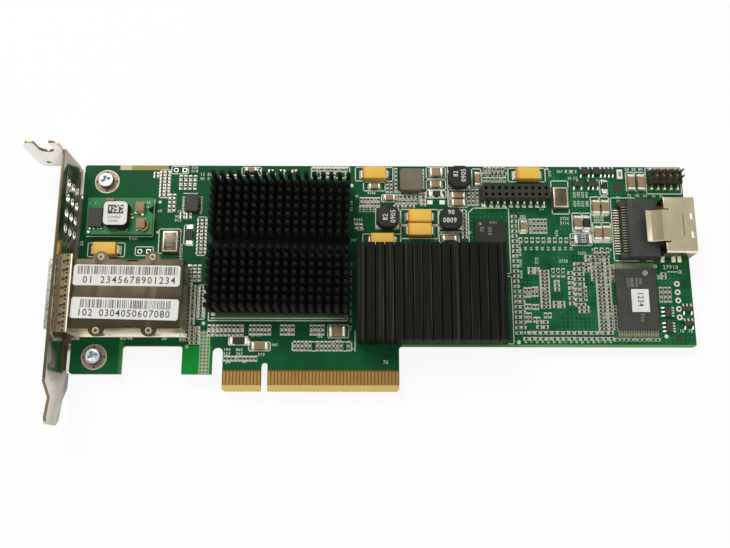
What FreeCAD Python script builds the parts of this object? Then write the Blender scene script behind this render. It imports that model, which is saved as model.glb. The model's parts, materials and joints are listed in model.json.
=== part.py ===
import FreeCAD, Part
import math
import os
from FreeCAD import Vector

# Low-profile storage controller card with one port on its bracket and one for internal disks.
# Millimetres. +X runs from the bracket to the far end, +Y from the edge connector to the top
# edge, and +Z out of the component side. The origin is the edge connector's datum: the middle
# of the key notch, at the finger tips, on the component side.

# Bare board
board_thickness = 1.57
board_height = 68.9
board_left = -56.42
board_right = 126.29
board_corner = 0.8
shoulder_height = 13.14
tab_bottom = 4.93
relief_left = -41.57
relief_right = -23.96
relief_corner = 1.0

# Edge connector
finger_left = -12.15
finger_right = 39.15
finger_corner = 0.7
contact_pitch = 1.0
contacts_left = 11
contacts_right = 38
first_contact_from_key = 1.5
contact_width = 0.7
contact_low = 1.75
contact_high = 5.75
contact_thickness = 0.04
key_width = 1.9
key_depth = 8.3
lock_slot_width = 3.2
lock_slot_top = 12.75
bevel_length = 1.7
bevel_depth = 0.55

# Holes in the board
screw_x = -49.45
screw_low_y = 9.8
screw_high_y = board_height - 5.3
board_hole_radius = 1.6
hole_sides = 12
header_places = ((-28.75, board_height - 1.5), (-38.1, 41.6))
header_hole_radius = 0.5
header_hole_pitch = 2.54
small_hole_sides = 8
test_hole_x = 122.0
test_hole_y = 21.9
test_hole_pitch = 2.53
test_hole_count = 5
tooling_x = 106.3
tooling_y = board_height - 6.7
tooling_radius = 1.5

# Bracket
sheet = 0.86
bracket_gap = 1.33
bracket_low_z = -4.02
bracket_width = 18.42
bracket_top = board_height + 0.5
bend_inner_radius = 0.4
bracket_chamfer = 1.8
flange_reach = 11.0
flange_low_z = 0.0
flange_high_z = 18.6
flange_chamfer = 1.3
prong_taper = 3.2
screw_slot_width = 4.5
screw_slot_bottom_z = 11.7
screw_slot_from_plate = 5.0
flange_hole_radius = 0.75
flange_hole_from_plate = 7.7
flange_hole_height = 3.5
taper_high_y = 1.2
taper_low_y = -2.8
tail_low_y = -10.0
tail_width = 10.19
tail_corner = 1.6
tail_step_in = 0.25
tail_step_out = 0.55
vent_radius = 1.3
vent_rows = 4
vent_columns = 3
vent_first_y = board_height - 22.75
vent_row_pitch = 4.57
vent_first_z = 1.05
vent_column_pitch = 3.97
foot_width = 7.6
foot_reach = 4.6
foot_relief = 0.5
window_clearance = 0.3

# Bracket screws
screw_radius = 1.25
screw_head_radius = 2.35
screw_head_height = 1.7
screw_head_taper = 0.72
screw_tip = 0.6
recess_width = 0.75
recess_length = 2.9
recess_depth = 1.1
recess_turn = 20

# External port
cage_sheet = 0.4
cage_front_x = -61.3
cage_back_x = -22.9
cage_low_y = 16.5
cage_high_y = 36.7
cage_height = 9.8
cage_skirt = 0.9
cage_skirt_front_x = -54.0
ear_places = (-46.5, -31.7)
ear_radius = 2.3
ear_foot_radius = 0.9
ear_foot_z = 2.4
ear_sides = 12
rivet_radius = 1.15
rivet_height = 0.35
rivet_taper = 0.8
rivet_sides = 12
cage_slot_x = -37.5
cage_slot_length = 2.6
cage_slot_width = 0.5
gasket_depth = 3.4
gasket_thickness = 1.2
gasket_finger_pitch = 2.55
gasket_finger_gap = 0.8
gasket_finger_depth = 0.6
receptacle_front_x = -40.5
receptacle_nose = 5.5
nose_width = 15.0
nose_height = 4.6
card_slot_height = 1.6
card_slot_depth = 5.0
port_contact_pitch = 0.8
port_contact_count = 13
port_contact_width = 0.35
port_contact_thickness = 0.15
fit_gap = 0.1

# Two plain labels on the external port: low edge and tilt in degrees
label_front_x = -54.1
label_length = 30.5
label_height = 6.1
label_thickness = 0.12
label_corner = 0.5
upper_label_y = 28.75
upper_label_tilt = -0.75
lower_label_y = 19.1
lower_label_tilt = -1.4

# Internal disk port
disk_port_y = 48.0
housing_left_x = 107.3
housing_right_x = 116.1
housing_width = 17.8
housing_height = 5.2
housing_ear_reach = 2.0
housing_ear_width = 1.7
housing_ear_height = 3.0
disk_nose_length = 5.2
disk_nose_width = 11.0
disk_nose_low = 1.6
disk_nose_height = 4.4
disk_slot_height = 1.4
disk_slot_width = 9.4
disk_slot_depth = 3.6
shell_left_x = 116.95
shell_right_x = 126.05
shell_width = 16.9
shell_height = 8.1
shell_sheet = 0.35
latch_y = 47.8
latch_width = 9.6
latch_reach = 5.25
latch_flat = 0.45
latch_curl = 1.7
latch_drop = 0.95
latch_lip = 0.4
latch_slot_depth = 1.6
latch_slot_width = 0.35
latch_window_length = 2.0
latch_window_width = 0.7
latch_window_spacing = 5.6
latch_window_inset = 1.15
disk_lead_pitch = 0.8
disk_lead_count = 18
disk_lead_width = 0.32
disk_lead_thickness = 0.25
disk_lead_height = 3.4
disk_lead_foot_x = 104.2

# Processor and its pin-fin heatsink
processor_x = 4.25
processor_y = 40.4
processor_size = 37.5
processor_thickness = 1.6
processor_lid_size = 31.0
processor_lid_height = 0.9
thermal_pad = 0.25
sink_x = 4.22
sink_y = 42.4
sink_turn = -0.9
pin_pitch = 2.46
pin_width = 1.2
pins_across = 17
clip_channel_row = 8
sink_base = 1.8
sink_height = 9.6
pad_inset = 3.0

# Memory chips and their straight-fin heatsink
memory_chip_width = 9.2
memory_chip_length = 12.6
memory_chip_height = 1.2
memory_last_x = 66.75
memory_pitch = 11.4
memory_low_y = 24.0
memory_high_y = 44.95
memory_per_row = 4
fin_count = 16
fin_pitch = 2.7
fin_thickness = 1.95
fin_sink_left = 27.1
fin_sink_low_y = 13.45
fin_sink_high_y = 41.9
fin_sink_base = 5.8
fin_sink_height = 8.8

# Flash chip
flash_x = 109.5
flash_y = 27.2
flash_width = 12.0
flash_length = 18.4
flash_height = 1.1
flash_standoff = 0.15
flash_lead_pitch = 0.5
flash_lead_count = 24
flash_lead_width = 0.24
flash_lead_reach = 0.9
flash_label_width = 5.2
flash_label_length = 6.9
flash_label_x = 110.4
flash_label_y = 26.7

# Voltage regulator module
module_left = -54.0
module_right = -34.3
module_high_y = board_height - 11.3
module_low_y = module_high_y - 11.5
module_standoff = 1.6
module_thickness = 1.0
module_notch = 1.7
module_notch_y = module_low_y + 7.3
module_pin_radius = 0.45
module_pin_sides = 6
module_pin_count = 6
module_pin_inset = 0.8
coil_left = -48.3
coil_right = -41.0
coil_low_y = module_low_y + 1.9
coil_high_y = coil_low_y + 7.6
coil_height = 3.0
coil_corner = 0.9
coil_terminal_width = 2.3
coil_terminal_reach = 0.8
coil_terminal_height = 0.6
module_label_size = 6.4
module_label_corner = 1.3
module_chip_left = -53.0
module_chip_width = 4.0
module_chip_low_y = module_low_y + 2.0
module_chip_length = 5.8
module_chip_height = 1.4
module_capacitor_places = ((-38.0, module_low_y + 8.2), (-37.5, module_low_y + 3.1))
module_capacitor_size = (2.6, 3.1, 1.7)

# Tantalum capacitors: middle of each on the board
tantalum_places = (
    (-48.25, 41.9),
    (32.0, board_height - 2.95),
    (45.65, 52.4),
    (45.6, 48.05),
    (34.25, 44.95),
    (78.75, board_height - 3.0),
)
tantalum_length = 7.3
tantalum_width = 4.15
tantalum_height = 2.8
tantalum_draft = 0.25
tantalum_terminal_width = 2.4
tantalum_terminal_reach = 0.35
tantalum_terminal_height = 1.2

# Ceramic chip parts: x, y, length, width, height, and True where the length runs along Y
ceramic_places = (
    (32.1, board_height - 6.7, 3.2, 1.6, 1.1, False),
    (36.6, board_height - 10.4, 3.2, 1.6, 1.1, False),
    (50.9, board_height - 2.3, 3.8, 2.5, 1.6, False),
    (50.7, board_height - 6.1, 3.6, 1.8, 1.2, False),
    (57.5, board_height - 9.5, 4.0, 1.9, 1.3, False),
    (57.5, board_height - 11.95, 4.0, 1.9, 1.3, False),
    (54.6, 45.8, 4.0, 1.6, 1.2, False),
    (63.4, board_height - 4.3, 4.2, 1.5, 1.2, True),
    (76.85, 49.6, 3.4, 1.6, 1.2, True),
    (99.2, board_height - 13.2, 4.2, 2.0, 1.3, True),
    (101.9, board_height - 13.2, 4.2, 2.0, 1.3, True),
    (93.3, 50.7, 4.2, 2.0, 1.3, True),
    (99.3, 47.5, 4.2, 2.0, 1.3, True),
    (101.9, 47.6, 4.2, 2.0, 1.3, True),
    (110.4, board_height - 5.3, 5.0, 2.1, 1.5, True),
    (113.4, board_height - 5.3, 5.0, 2.1, 1.5, True),
    (21.1, 17.3, 4.6, 3.0, 1.8, False),
    (-1.4, 13.0, 4.6, 2.0, 1.3, False),
    (-5.6, board_height - 1.6, 3.2, 1.5, 1.0, False),
)
ceramic_end_share = 0.17

# Chip resistors and the ferrite bead, in the same form
resistor_places = (
    (-23.45, 46.7, 5.6, 1.9, 0.6, True),
    (-7.6, 14.6, 5.2, 2.0, 0.7, False),
    (50.9, board_height - 8.9, 3.4, 1.6, 0.6, False),
    (96.1, 50.7, 4.2, 1.9, 0.9, True),
    (102.4, board_height - 6.3, 3.4, 1.3, 0.8, True),
)
ferrite_places = ((94.6, 45.5, 5.2, 2.6, 1.4, False),)

# Open power coils: middle, across flats, corner cut and height
coil_places = ((35.9, 51.7), (54.9, 51.2), (57.75, board_height - 4.5))
power_coil_size = 6.8
power_coil_cut = 1.7
power_coil_height = 3.8
coil_foot_size = 5.6
coil_foot_height = 0.9
shielded_coil_x = 43.1
shielded_coil_y = board_height - 5.2
shielded_coil_width = 6.7
shielded_coil_length = 7.0
shielded_coil_height = 3.0
shielded_coil_corner = 0.5

# Oscillator cans: middle of each
oscillator_places = ((-29.0, 44.4), (88.5, board_height - 10.3))
oscillator_width = 5.2
oscillator_length = 7.1
oscillator_base = 0.9
oscillator_lid = 0.5
oscillator_rim = 0.35

# Clock chip with leads on its two long sides
clock_x = -23.1
clock_y = board_height - 12.4
clock_width = 3.9
clock_length = 5.2
clock_height = 1.4
clock_standoff = 0.15
clock_lead_pitch = 0.62
clock_lead_count = 8
clock_lead_width = 0.28
clock_lead_reach = 1.25

# Two-row socket header
socket_x = 74.5
socket_y = board_height - 9.4
socket_length = 20.4
socket_width = 4.4
socket_low_z = 0.3
socket_height = 4.5
socket_pitch = 2.0
socket_columns = 10
socket_hole = 0.9
socket_hole_depth = 3.0
socket_lead_width = 0.5
socket_lead_reach = 1.3
header_lead_shoulder = 0.9
header_lead_thickness = 0.25

# Two-row pin header at the far top corner
pin_header_first_x = 116.7
pin_header_y = board_height - 3.9
pin_header_pitch = 2.0
pin_header_columns = 5
pin_header_width = 4.2
pin_header_end = 1.0
pin_header_low_z = 0.3
pin_header_top_z = 2.2
pin_size = 0.5
pin_top_z = 6.2
pin_foot_reach = 1.6

# Small moulded chips: x, y, length, width, and True where the length runs along Y
small_chip_places = (
    (96.5, board_height - 1.8, 3.0, 1.6, False),
    (100.2, board_height - 1.8, 3.0, 1.6, False),
    (103.9, board_height - 1.8, 3.0, 1.6, False),
    (94.1, board_height - 5.8, 2.9, 1.6, False),
    (98.8, board_height - 5.8, 3.4, 1.6, False),
    (118.5, 23.5, 3.0, 1.9, True),
    (118.5, 18.9, 3.0, 1.9, True),
    (124.4, 24.3, 2.9, 1.5, False),
    (124.4, 19.9, 2.9, 1.5, False),
)
small_chip_height = 1.0

# Leads of the flash and clock chips
lead_thickness = 0.15

# Values worked out from the ones above
board_back = -board_thickness
plate_inner = board_left - bracket_gap
plate_outer = plate_inner - sheet
bracket_high_z = bracket_low_z + bracket_width
bend_outer_radius = bend_inner_radius + sheet
slot_middle_x = plate_outer - screw_slot_from_plate
cage_middle_y = (cage_high_y + cage_low_y) / 2
module_base = module_standoff + module_thickness
coil_top = module_base + coil_height
processor_top = processor_thickness + processor_lid_height
sink_seat = processor_top + thermal_pad
fin_sink_seat = memory_chip_height + thermal_pad
fin_sink_right = fin_sink_left + (fin_count - 1) * fin_pitch + fin_thickness


def block(x0, x1, y0, y1, z0, z1):
    return Part.makeBox(x1 - x0, y1 - y0, z1 - z0, Vector(x0, y0, z0))


def block_on(x, y, size_x, size_y, z0, z1):
    return block(x - size_x / 2, x + size_x / 2, y - size_y / 2, y + size_y / 2, z0, z1)


def post(x, y, radius, z0, z1):
    return Part.makeCylinder(radius, z1 - z0, Vector(x, y, z0))


# Corners of a many-sided ring, with flats facing along the axes
def ring(radius, sides):
    turn = 2 * math.pi / sides
    reach = radius / math.cos(turn / 2)
    return [(reach * math.cos((step + 0.5) * turn), reach * math.sin((step + 0.5) * turn))
            for step in range(sides)]


def prism(points, direction):
    corners = [Vector(*point) for point in points]
    return Part.Face(Part.makePolygon(corners + corners[:1])).extrude(Vector(*direction))


def upright(points, z0, z1):
    return prism([(x, y, z0) for x, y in points], (0, 0, z1 - z0))


def many_sided(x, y, radius, sides, z0, z1):
    return upright([(x + px, y + py) for px, py in ring(radius, sides)], z0, z1)


def tapered_post(x, y, low_radius, high_radius, z0, z1, sides):
    low = [Vector(x + px, y + py, z0) for px, py in ring(low_radius, sides)]
    high = [Vector(x + px, y + py, z1) for px, py in ring(high_radius, sides)]
    outlines = [low, high]
    for step in range(sides):
        after = (step + 1) % sides
        outlines.append([low[step], low[after], high[after], high[step]])
    faces = [Part.Face(Part.makePolygon(points + points[:1])) for points in outlines]
    return Part.Solid(Part.Shell(faces))


def corner_cut_block(x0, x1, y0, y1, z0, z1, cut):
    corners = [
        (x0 + cut, y0), (x1 - cut, y0), (x1, y0 + cut), (x1, y1 - cut),
        (x1 - cut, y1), (x0 + cut, y1), (x0, y1 - cut), (x0, y0 + cut),
    ]
    return upright(corners, z0, z1)


def turned(shape, angle, x, y):
    shape.rotate(Vector(x, y, 0), Vector(0, 0, 1), angle)
    return shape


def laid(x, y, along, across, z0, z1, is_upright):
    if is_upright:
        along, across = across, along
    return block_on(x, y, along, across, z0, z1)


def spread(count, pitch):
    return [(index - (count - 1) / 2) * pitch for index in range(count)]


# A lead seen from its side, as height over distance: level out of a body, down, and along the board
def stepped_lead(reach, shoulder, thickness):
    knee = reach * 0.45
    return [
        (0, shoulder),
        (knee, shoulder),
        (knee, thickness),
        (reach, thickness),
        (reach, 0),
        (knee - thickness, 0),
        (knee - thickness, shoulder - thickness),
        (0, shoulder - thickness),
    ]


# The same for a lead that slopes down to a flat foot
def sloping_lead(reach, shoulder, thickness):
    return [
        (0, shoulder),
        (reach * 0.5, thickness),
        (reach, thickness),
        (reach, 0),
        (reach * 0.5 - thickness, 0),
        (0, shoulder - thickness),
    ]


# The same for a very short one
def short_lead(reach, shoulder, thickness):
    return [(0, shoulder), (reach, thickness), (reach, 0), (0, shoulder - thickness)]


# A lead of that side view, placed at a body's edge and pointing along the given angle in degrees
def lead_at(x, y, angle, side, width):
    lead = prism([(px, -width / 2, pz) for px, pz in side], (0, width, 0))
    lead.rotate(Vector(0, 0, 0), Vector(0, 0, 1), angle)
    lead.translate(Vector(x, y, 0))
    return lead


def vertical_edges(solid, corners):
    found = []
    for edge in solid.Edges:
        first, last = edge.Vertexes[0].Point, edge.Vertexes[-1].Point
        is_vertical = math.hypot(first.x - last.x, first.y - last.y) < 1e-6
        if is_vertical and any(math.hypot(first.x - x, first.y - y) < 1e-6 for x, y in corners):
            found.append(edge)
    return found


def circuit_board():
    lock_radius = lock_slot_width / 2
    lock_x = finger_left - lock_radius
    lock_round_y = lock_slot_top - lock_radius
    key_radius = key_width / 2
    key_round_y = key_depth - key_radius
    outline = [
        (board_left, tab_bottom),
        (relief_left, tab_bottom),
        (relief_left, shoulder_height),
        (relief_right, shoulder_height),
        (relief_right, tab_bottom),
        (lock_x - lock_radius, tab_bottom),
        (lock_x - lock_radius, lock_round_y),
        (finger_left, lock_round_y),
        (finger_left, finger_corner),
        (finger_left + finger_corner, 0),
        (-key_radius, 0),
        (-key_radius, key_round_y),
        (key_radius, key_round_y),
        (key_radius, 0),
        (finger_right - finger_corner, 0),
        (finger_right, finger_corner),
        (finger_right, shoulder_height),
        (board_right, shoulder_height),
        (board_right, board_height),
        (board_left, board_height),
    ]
    board = upright(outline, board_back, 0)
    board = board.cut(post(lock_x, lock_round_y, lock_radius, board_back, 0))
    board = board.cut(post(0, key_round_y, key_radius, board_back, 0))
    outer_corners = [outline[0], outline[-3], outline[-2], outline[-1]]
    board = board.makeFillet(board_corner, vertical_edges(board, outer_corners))
    inner_corners = [outline[2], outline[3], outline[-4]]
    board = board.makeFillet(relief_corner, vertical_edges(board, inner_corners))

    for face_z, tip_z in ((0, -bevel_depth), (board_back, board_back + bevel_depth)):
        wedge = [(finger_left, 0, face_z), (finger_left, bevel_length, face_z), (finger_left, 0, tip_z)]
        board = board.cut(prism(wedge, (finger_right - finger_left, 0, 0)))

    holes = [
        many_sided(screw_x, screw_low_y, board_hole_radius, hole_sides, board_back, 0),
        many_sided(screw_x, screw_high_y, board_hole_radius, hole_sides, board_back, 0),
        many_sided(tooling_x, tooling_y, tooling_radius, hole_sides, board_back, 0),
    ]
    small_places = [(test_hole_x, test_hole_y + index * test_hole_pitch) for index in range(test_hole_count)]
    for x, y in header_places:
        small_places += [(x, y), (x + header_hole_pitch, y)]
    for x, y in small_places:
        holes.append(many_sided(x, y, header_hole_radius, small_hole_sides, board_back, 0))
    return board.cut(Part.makeCompound(holes))


def edge_contacts():
    left = [-first_contact_from_key - index * contact_pitch for index in range(contacts_left)]
    right = [first_contact_from_key + index * contact_pitch for index in range(contacts_right)]
    contacts = []
    for x in left + right:
        for low_z in (0, board_back - contact_thickness):
            contacts.append(block(x - contact_width / 2, x + contact_width / 2, contact_low, contact_high,
                                  low_z, low_z + contact_thickness))
    return Part.makeCompound(contacts)


# The bracket's bent section in the XY plane: plate, bend and flange as one sheet
def bracket_section():
    flange_low = bracket_top - sheet
    bend_x = plate_inner - bend_outer_radius
    bend_y = bracket_top - bend_outer_radius
    half = math.sqrt(0.5)
    low = bracket_low_z
    corner = Vector(bend_x, bend_y, low)

    def on_bend(radius, across, up):
        return corner + Vector(radius * across, radius * up, 0)

    edges = [
        Part.makeLine(Vector(plate_inner, taper_high_y, low), on_bend(bend_outer_radius, 1, 0)),
        Part.Arc(on_bend(bend_outer_radius, 1, 0), on_bend(bend_outer_radius, half, half),
                 on_bend(bend_outer_radius, 0, 1)).toShape(),
        Part.makeLine(on_bend(bend_outer_radius, 0, 1), Vector(plate_outer - flange_reach, bracket_top, low)),
        Part.makeLine(Vector(plate_outer - flange_reach, bracket_top, low),
                      Vector(plate_outer - flange_reach, flange_low, low)),
        Part.makeLine(Vector(plate_outer - flange_reach, flange_low, low), on_bend(bend_inner_radius, 0, 1)),
        Part.Arc(on_bend(bend_inner_radius, 0, 1), on_bend(bend_inner_radius, half, half),
                 on_bend(bend_inner_radius, 1, 0)).toShape(),
        Part.makeLine(on_bend(bend_inner_radius, 1, 0), Vector(plate_outer, taper_high_y, low)),
        Part.makeLine(Vector(plate_outer, taper_high_y, low), Vector(plate_inner, taper_high_y, low)),
    ]
    return Part.Face(Part.Wire(edges))


def bracket_outline():
    bend_y = bracket_top - bend_outer_radius
    through = (plate_outer - flange_reach - 1, plate_inner + 1)
    plate = [
        (taper_high_y, bracket_high_z),
        (bend_y, bracket_high_z),
        (bend_y, bracket_low_z + bracket_chamfer),
        (bend_y - bracket_chamfer, bracket_low_z),
        (taper_high_y, bracket_low_z),
    ]
    plate_stock = prism([(through[0], y, z) for y, z in plate], (through[1] - through[0], 0, 0))
    flange = [
        (plate_inner, flange_low_z),
        (plate_outer - flange_reach + flange_chamfer, flange_low_z),
        (plate_outer - flange_reach, flange_low_z + flange_chamfer),
        (plate_outer - flange_reach, flange_high_z - prong_taper),
        (plate_outer - flange_reach + prong_taper / 2, flange_high_z),
        (plate_outer, flange_high_z),
        (plate_outer, bracket_high_z),
        (plate_inner, bracket_high_z),
    ]
    flange_stock = prism([(x, bend_y, z) for x, z in flange], (0, bracket_top - bend_y, 0))
    slot_radius = screw_slot_width / 2
    round_z = screw_slot_bottom_z + slot_radius
    slot = block(slot_middle_x - slot_radius, slot_middle_x + slot_radius, bend_y, bracket_top,
                 round_z, flange_high_z)
    slot_end = Part.makeCylinder(slot_radius, bracket_top - bend_y, Vector(slot_middle_x, bend_y, round_z),
                                 Vector(0, 1, 0))
    pilot_x = plate_outer - flange_hole_from_plate
    pilot_z = flange_low_z + flange_hole_height
    pilot_rim = ring(flange_hole_radius, small_hole_sides)
    pilot = prism([(pilot_x + px, bend_y, pilot_z + pz) for px, pz in pilot_rim],
                  (0, bracket_top - bend_y, 0))
    return plate_stock.fuse(flange_stock.cut(slot).cut(slot_end).cut(pilot))


# The tail narrows below the plate, steps in a little and then leans out to its rounded end
def bracket_tail():
    waist_x = tail_step_in
    tip_x = -tail_step_out
    side = [
        (plate_outer, taper_high_y),
        (plate_inner, taper_high_y),
        (plate_inner + waist_x, taper_low_y),
        (plate_inner + tip_x, tail_low_y),
        (plate_outer + tip_x, tail_low_y),
        (plate_outer + waist_x, taper_low_y),
    ]
    strip = upright(side, bracket_low_z, bracket_high_z)
    middle_z = (bracket_low_z + bracket_high_z) / 2
    low_z = middle_z - tail_width / 2
    high_z = middle_z + tail_width / 2
    across = plate_outer - tail_step_out - 1
    shape = [
        (taper_high_y, bracket_low_z),
        (taper_low_y, low_z),
        (tail_low_y + tail_corner, low_z),
        (tail_low_y, low_z + tail_corner),
        (tail_low_y, high_z - tail_corner),
        (tail_low_y + tail_corner, high_z),
        (taper_low_y, high_z),
        (taper_high_y, bracket_high_z),
    ]
    stock = prism([(across, y, z) for y, z in shape], (plate_inner + tail_step_in + 1 - across, 0, 0))
    return strip.common(stock)


def bracket():
    depth = max(bracket_high_z, flange_high_z) - bracket_low_z
    solid = bracket_section().extrude(Vector(0, 0, depth)).common(bracket_outline())
    solid = solid.fuse(bracket_tail())

    vents = []
    for row in range(vent_rows):
        for column in range(vent_columns):
            y = vent_first_y + row * vent_row_pitch
            z = vent_first_z + column * vent_column_pitch
            rim = [(plate_outer, y + py, z + pz) for py, pz in ring(vent_radius, hole_sides)]
            vents.append(prism(rim, (sheet, 0, 0)))
    solid = solid.cut(Part.makeCompound(vents))
    window = block(plate_outer, plate_inner, cage_low_y - window_clearance, cage_high_y + window_clearance,
                   -window_clearance, cage_height + window_clearance)
    solid = solid.cut(window)

    foot_top = board_back
    foot_low = foot_top - sheet
    foot_end = screw_x + foot_reach
    for y in (screw_low_y, screw_high_y):
        notch_width = foot_width + 2 * foot_relief
        solid = solid.cut(block(plate_outer, plate_inner, y - notch_width / 2, y + notch_width / 2,
                                bracket_low_z, foot_low))
        foot = block(plate_outer, foot_end, y - foot_width / 2, y + foot_width / 2, foot_low, foot_top)
        bend = [edge for edge in foot.Edges
                if math.hypot(edge.CenterOfMass.x - plate_outer, edge.CenterOfMass.z - foot_low) < 1e-6]
        foot = foot.makeFillet(sheet * 0.8, bend)
        solid = solid.cut(block(plate_outer, plate_inner, y - foot_width / 2, y + foot_width / 2,
                                foot_low, foot_top))
        solid = solid.fuse(foot)
        solid = solid.cut(many_sided(screw_x, y, screw_radius, hole_sides, foot_low, foot_top))
    return solid.removeSplitter()


def bracket_screws():
    screws = []
    shank_end = board_back - sheet - screw_tip
    half_width = recess_width / 2
    half_length = recess_length / 2
    cross = []
    for across, up in ((1, 1), (-1, 1), (-1, -1), (1, -1)):
        corner = [(across * half_length, up * half_width), (across * half_width, up * half_width),
                  (across * half_width, up * half_length)]
        cross += corner if across * up > 0 else corner[::-1]
    for y in (screw_low_y, screw_high_y):
        profile = [
            (0, shank_end),
            (screw_radius, shank_end),
            (screw_radius, 0),
            (screw_head_radius, 0),
            (screw_head_radius * screw_head_taper, screw_head_height),
            (0, screw_head_height),
        ]
        points = [Vector(screw_x + radius, y, z) for radius, z in profile]
        face = Part.Face(Part.makePolygon(points + points[:1]))
        screw = face.revolve(Vector(screw_x, y, 0), Vector(0, 0, 1), 360)
        recess = upright([(screw_x + px, y + py) for px, py in cross],
                         screw_head_height - recess_depth, screw_head_height)
        screws.append(screw.cut(turned(recess, recess_turn, screw_x, y)))
    return Part.makeCompound(screws)


def port_cage():
    shell = block(cage_front_x, cage_back_x, cage_low_y, cage_high_y, 0, cage_height)
    for y in (cage_low_y, cage_high_y):
        for x in ear_places:
            ear = tapered_post(x, y, ear_foot_radius, ear_radius, ear_foot_z, cage_height, ear_sides)
            shell = shell.fuse(ear)
    skirt_low_y = cage_low_y - cage_skirt
    skirt_high_y = cage_high_y + cage_skirt
    shell = shell.fuse(block(cage_skirt_front_x, cage_back_x, skirt_low_y, skirt_high_y, 0, cage_sheet))
    cavity = block(cage_front_x, cage_back_x - cage_sheet, cage_low_y + cage_sheet, cage_high_y - cage_sheet,
                   cage_sheet, cage_height - cage_sheet)
    shell = shell.cut(cavity)
    for y in (cage_low_y + cage_slot_width, cage_high_y - cage_slot_width):
        shell = shell.cut(block_on(cage_slot_x, y, cage_slot_length, cage_slot_width,
                                   cage_height - cage_sheet, cage_height))
    return shell.removeSplitter()


def port_rivets():
    rivets = []
    for y in (cage_low_y - ear_radius * 0.25, cage_high_y + ear_radius * 0.25):
        for x in ear_places:
            rivets.append(tapered_post(x, y, rivet_radius, rivet_radius * rivet_taper, cage_height,
                                       cage_height + rivet_height, rivet_sides))
    return Part.makeCompound(rivets)


# A springy conductive collar that closes the gap between the bracket and the cage on three sides
def port_gasket():
    back = plate_inner + gasket_depth
    low_y = cage_low_y - gasket_thickness
    high_y = cage_high_y + gasket_thickness
    top = cage_height + gasket_thickness
    collar = block(plate_inner, back, low_y, high_y, 0, top)
    collar = collar.cut(block(plate_inner, back, cage_low_y, cage_high_y, 0, cage_height))
    gaps = []
    across = int((high_y - low_y) / gasket_finger_pitch)
    for offset in spread(across, gasket_finger_pitch):
        gaps.append(block_on((plate_inner + back) / 2, cage_middle_y + offset, gasket_depth / 2,
                             gasket_finger_gap, top - gasket_finger_depth, top))
    up = int(cage_height / gasket_finger_pitch)
    for index in range(up):
        z = (index + 0.75) * gasket_finger_pitch
        for y in (low_y + gasket_finger_depth / 2, high_y - gasket_finger_depth / 2):
            gaps.append(block_on((plate_inner + back) / 2, y, gasket_depth / 2, gasket_finger_depth,
                                 z - gasket_finger_gap / 2, z + gasket_finger_gap / 2))
    return collar.cut(Part.makeCompound(gaps))


def port_receptacle():
    low_y = cage_low_y + cage_sheet
    high_y = cage_high_y - cage_sheet
    body = block(receptacle_front_x, cage_back_x - cage_sheet, low_y, high_y, cage_sheet,
                 cage_height - cage_sheet - fit_gap)
    middle_z = cage_height / 2
    nose = block(receptacle_front_x - receptacle_nose, receptacle_front_x, cage_middle_y - nose_width / 2,
                 cage_middle_y + nose_width / 2, middle_z - nose_height / 2, middle_z + nose_height / 2)
    slot_width = port_contact_count * port_contact_pitch + 1.2
    slot = block(receptacle_front_x - receptacle_nose, receptacle_front_x - receptacle_nose + card_slot_depth,
                 cage_middle_y - slot_width / 2, cage_middle_y + slot_width / 2,
                 middle_z - card_slot_height / 2, middle_z + card_slot_height / 2)
    return body.fuse(nose).cut(slot).removeSplitter()


def port_contacts():
    middle_z = cage_height / 2
    front = receptacle_front_x - receptacle_nose + 0.6
    back = receptacle_front_x - receptacle_nose + card_slot_depth
    strips = []
    for offset in spread(port_contact_count, port_contact_pitch):
        y = cage_middle_y + offset
        for side in (-1, 1):
            wall = middle_z + side * card_slot_height / 2
            inner = wall - side * port_contact_thickness
            strips.append(block(front, back, y - port_contact_width / 2, y + port_contact_width / 2,
                                min(wall, inner), max(wall, inner)))
    return Part.makeCompound(strips)


def port_labels():
    labels = []
    for low_y, tilt in ((upper_label_y, upper_label_tilt), (lower_label_y, lower_label_tilt)):
        label = corner_cut_block(label_front_x, label_front_x + label_length, low_y, low_y + label_height,
                                 cage_height, cage_height + label_thickness, label_corner)
        labels.append(turned(label, tilt, label_front_x + label_length / 2, low_y + label_height / 2))
    return Part.makeCompound(labels)


def disk_port_housing():
    low_y = disk_port_y - housing_width / 2
    high_y = disk_port_y + housing_width / 2
    body = block(housing_left_x, housing_right_x, low_y, high_y, 0, housing_height)
    for ear_low in (low_y, high_y - housing_ear_width):
        body = body.fuse(block(housing_left_x - housing_ear_reach, housing_left_x, ear_low,
                               ear_low + housing_ear_width, 0, housing_ear_height))
    nose_end = housing_right_x + disk_nose_length
    half_nose = disk_nose_width / 2
    half_slot = disk_slot_width / 2
    nose = block(housing_right_x, nose_end, disk_port_y - half_nose, disk_port_y + half_nose,
                 disk_nose_low, disk_nose_low + disk_nose_height)
    slot_low = disk_nose_low + (disk_nose_height - disk_slot_height) / 2
    slot = block(nose_end - disk_slot_depth, nose_end, disk_port_y - half_slot, disk_port_y + half_slot,
                 slot_low, slot_low + disk_slot_height)
    rear_chamfer = [
        (housing_left_x, low_y, housing_height),
        (housing_left_x + 1.2, low_y, housing_height),
        (housing_left_x, low_y, housing_height - 0.8),
    ]
    body = body.cut(prism(rear_chamfer, (0, high_y - low_y, 0)))
    return body.fuse(nose).cut(slot).removeSplitter()


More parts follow.
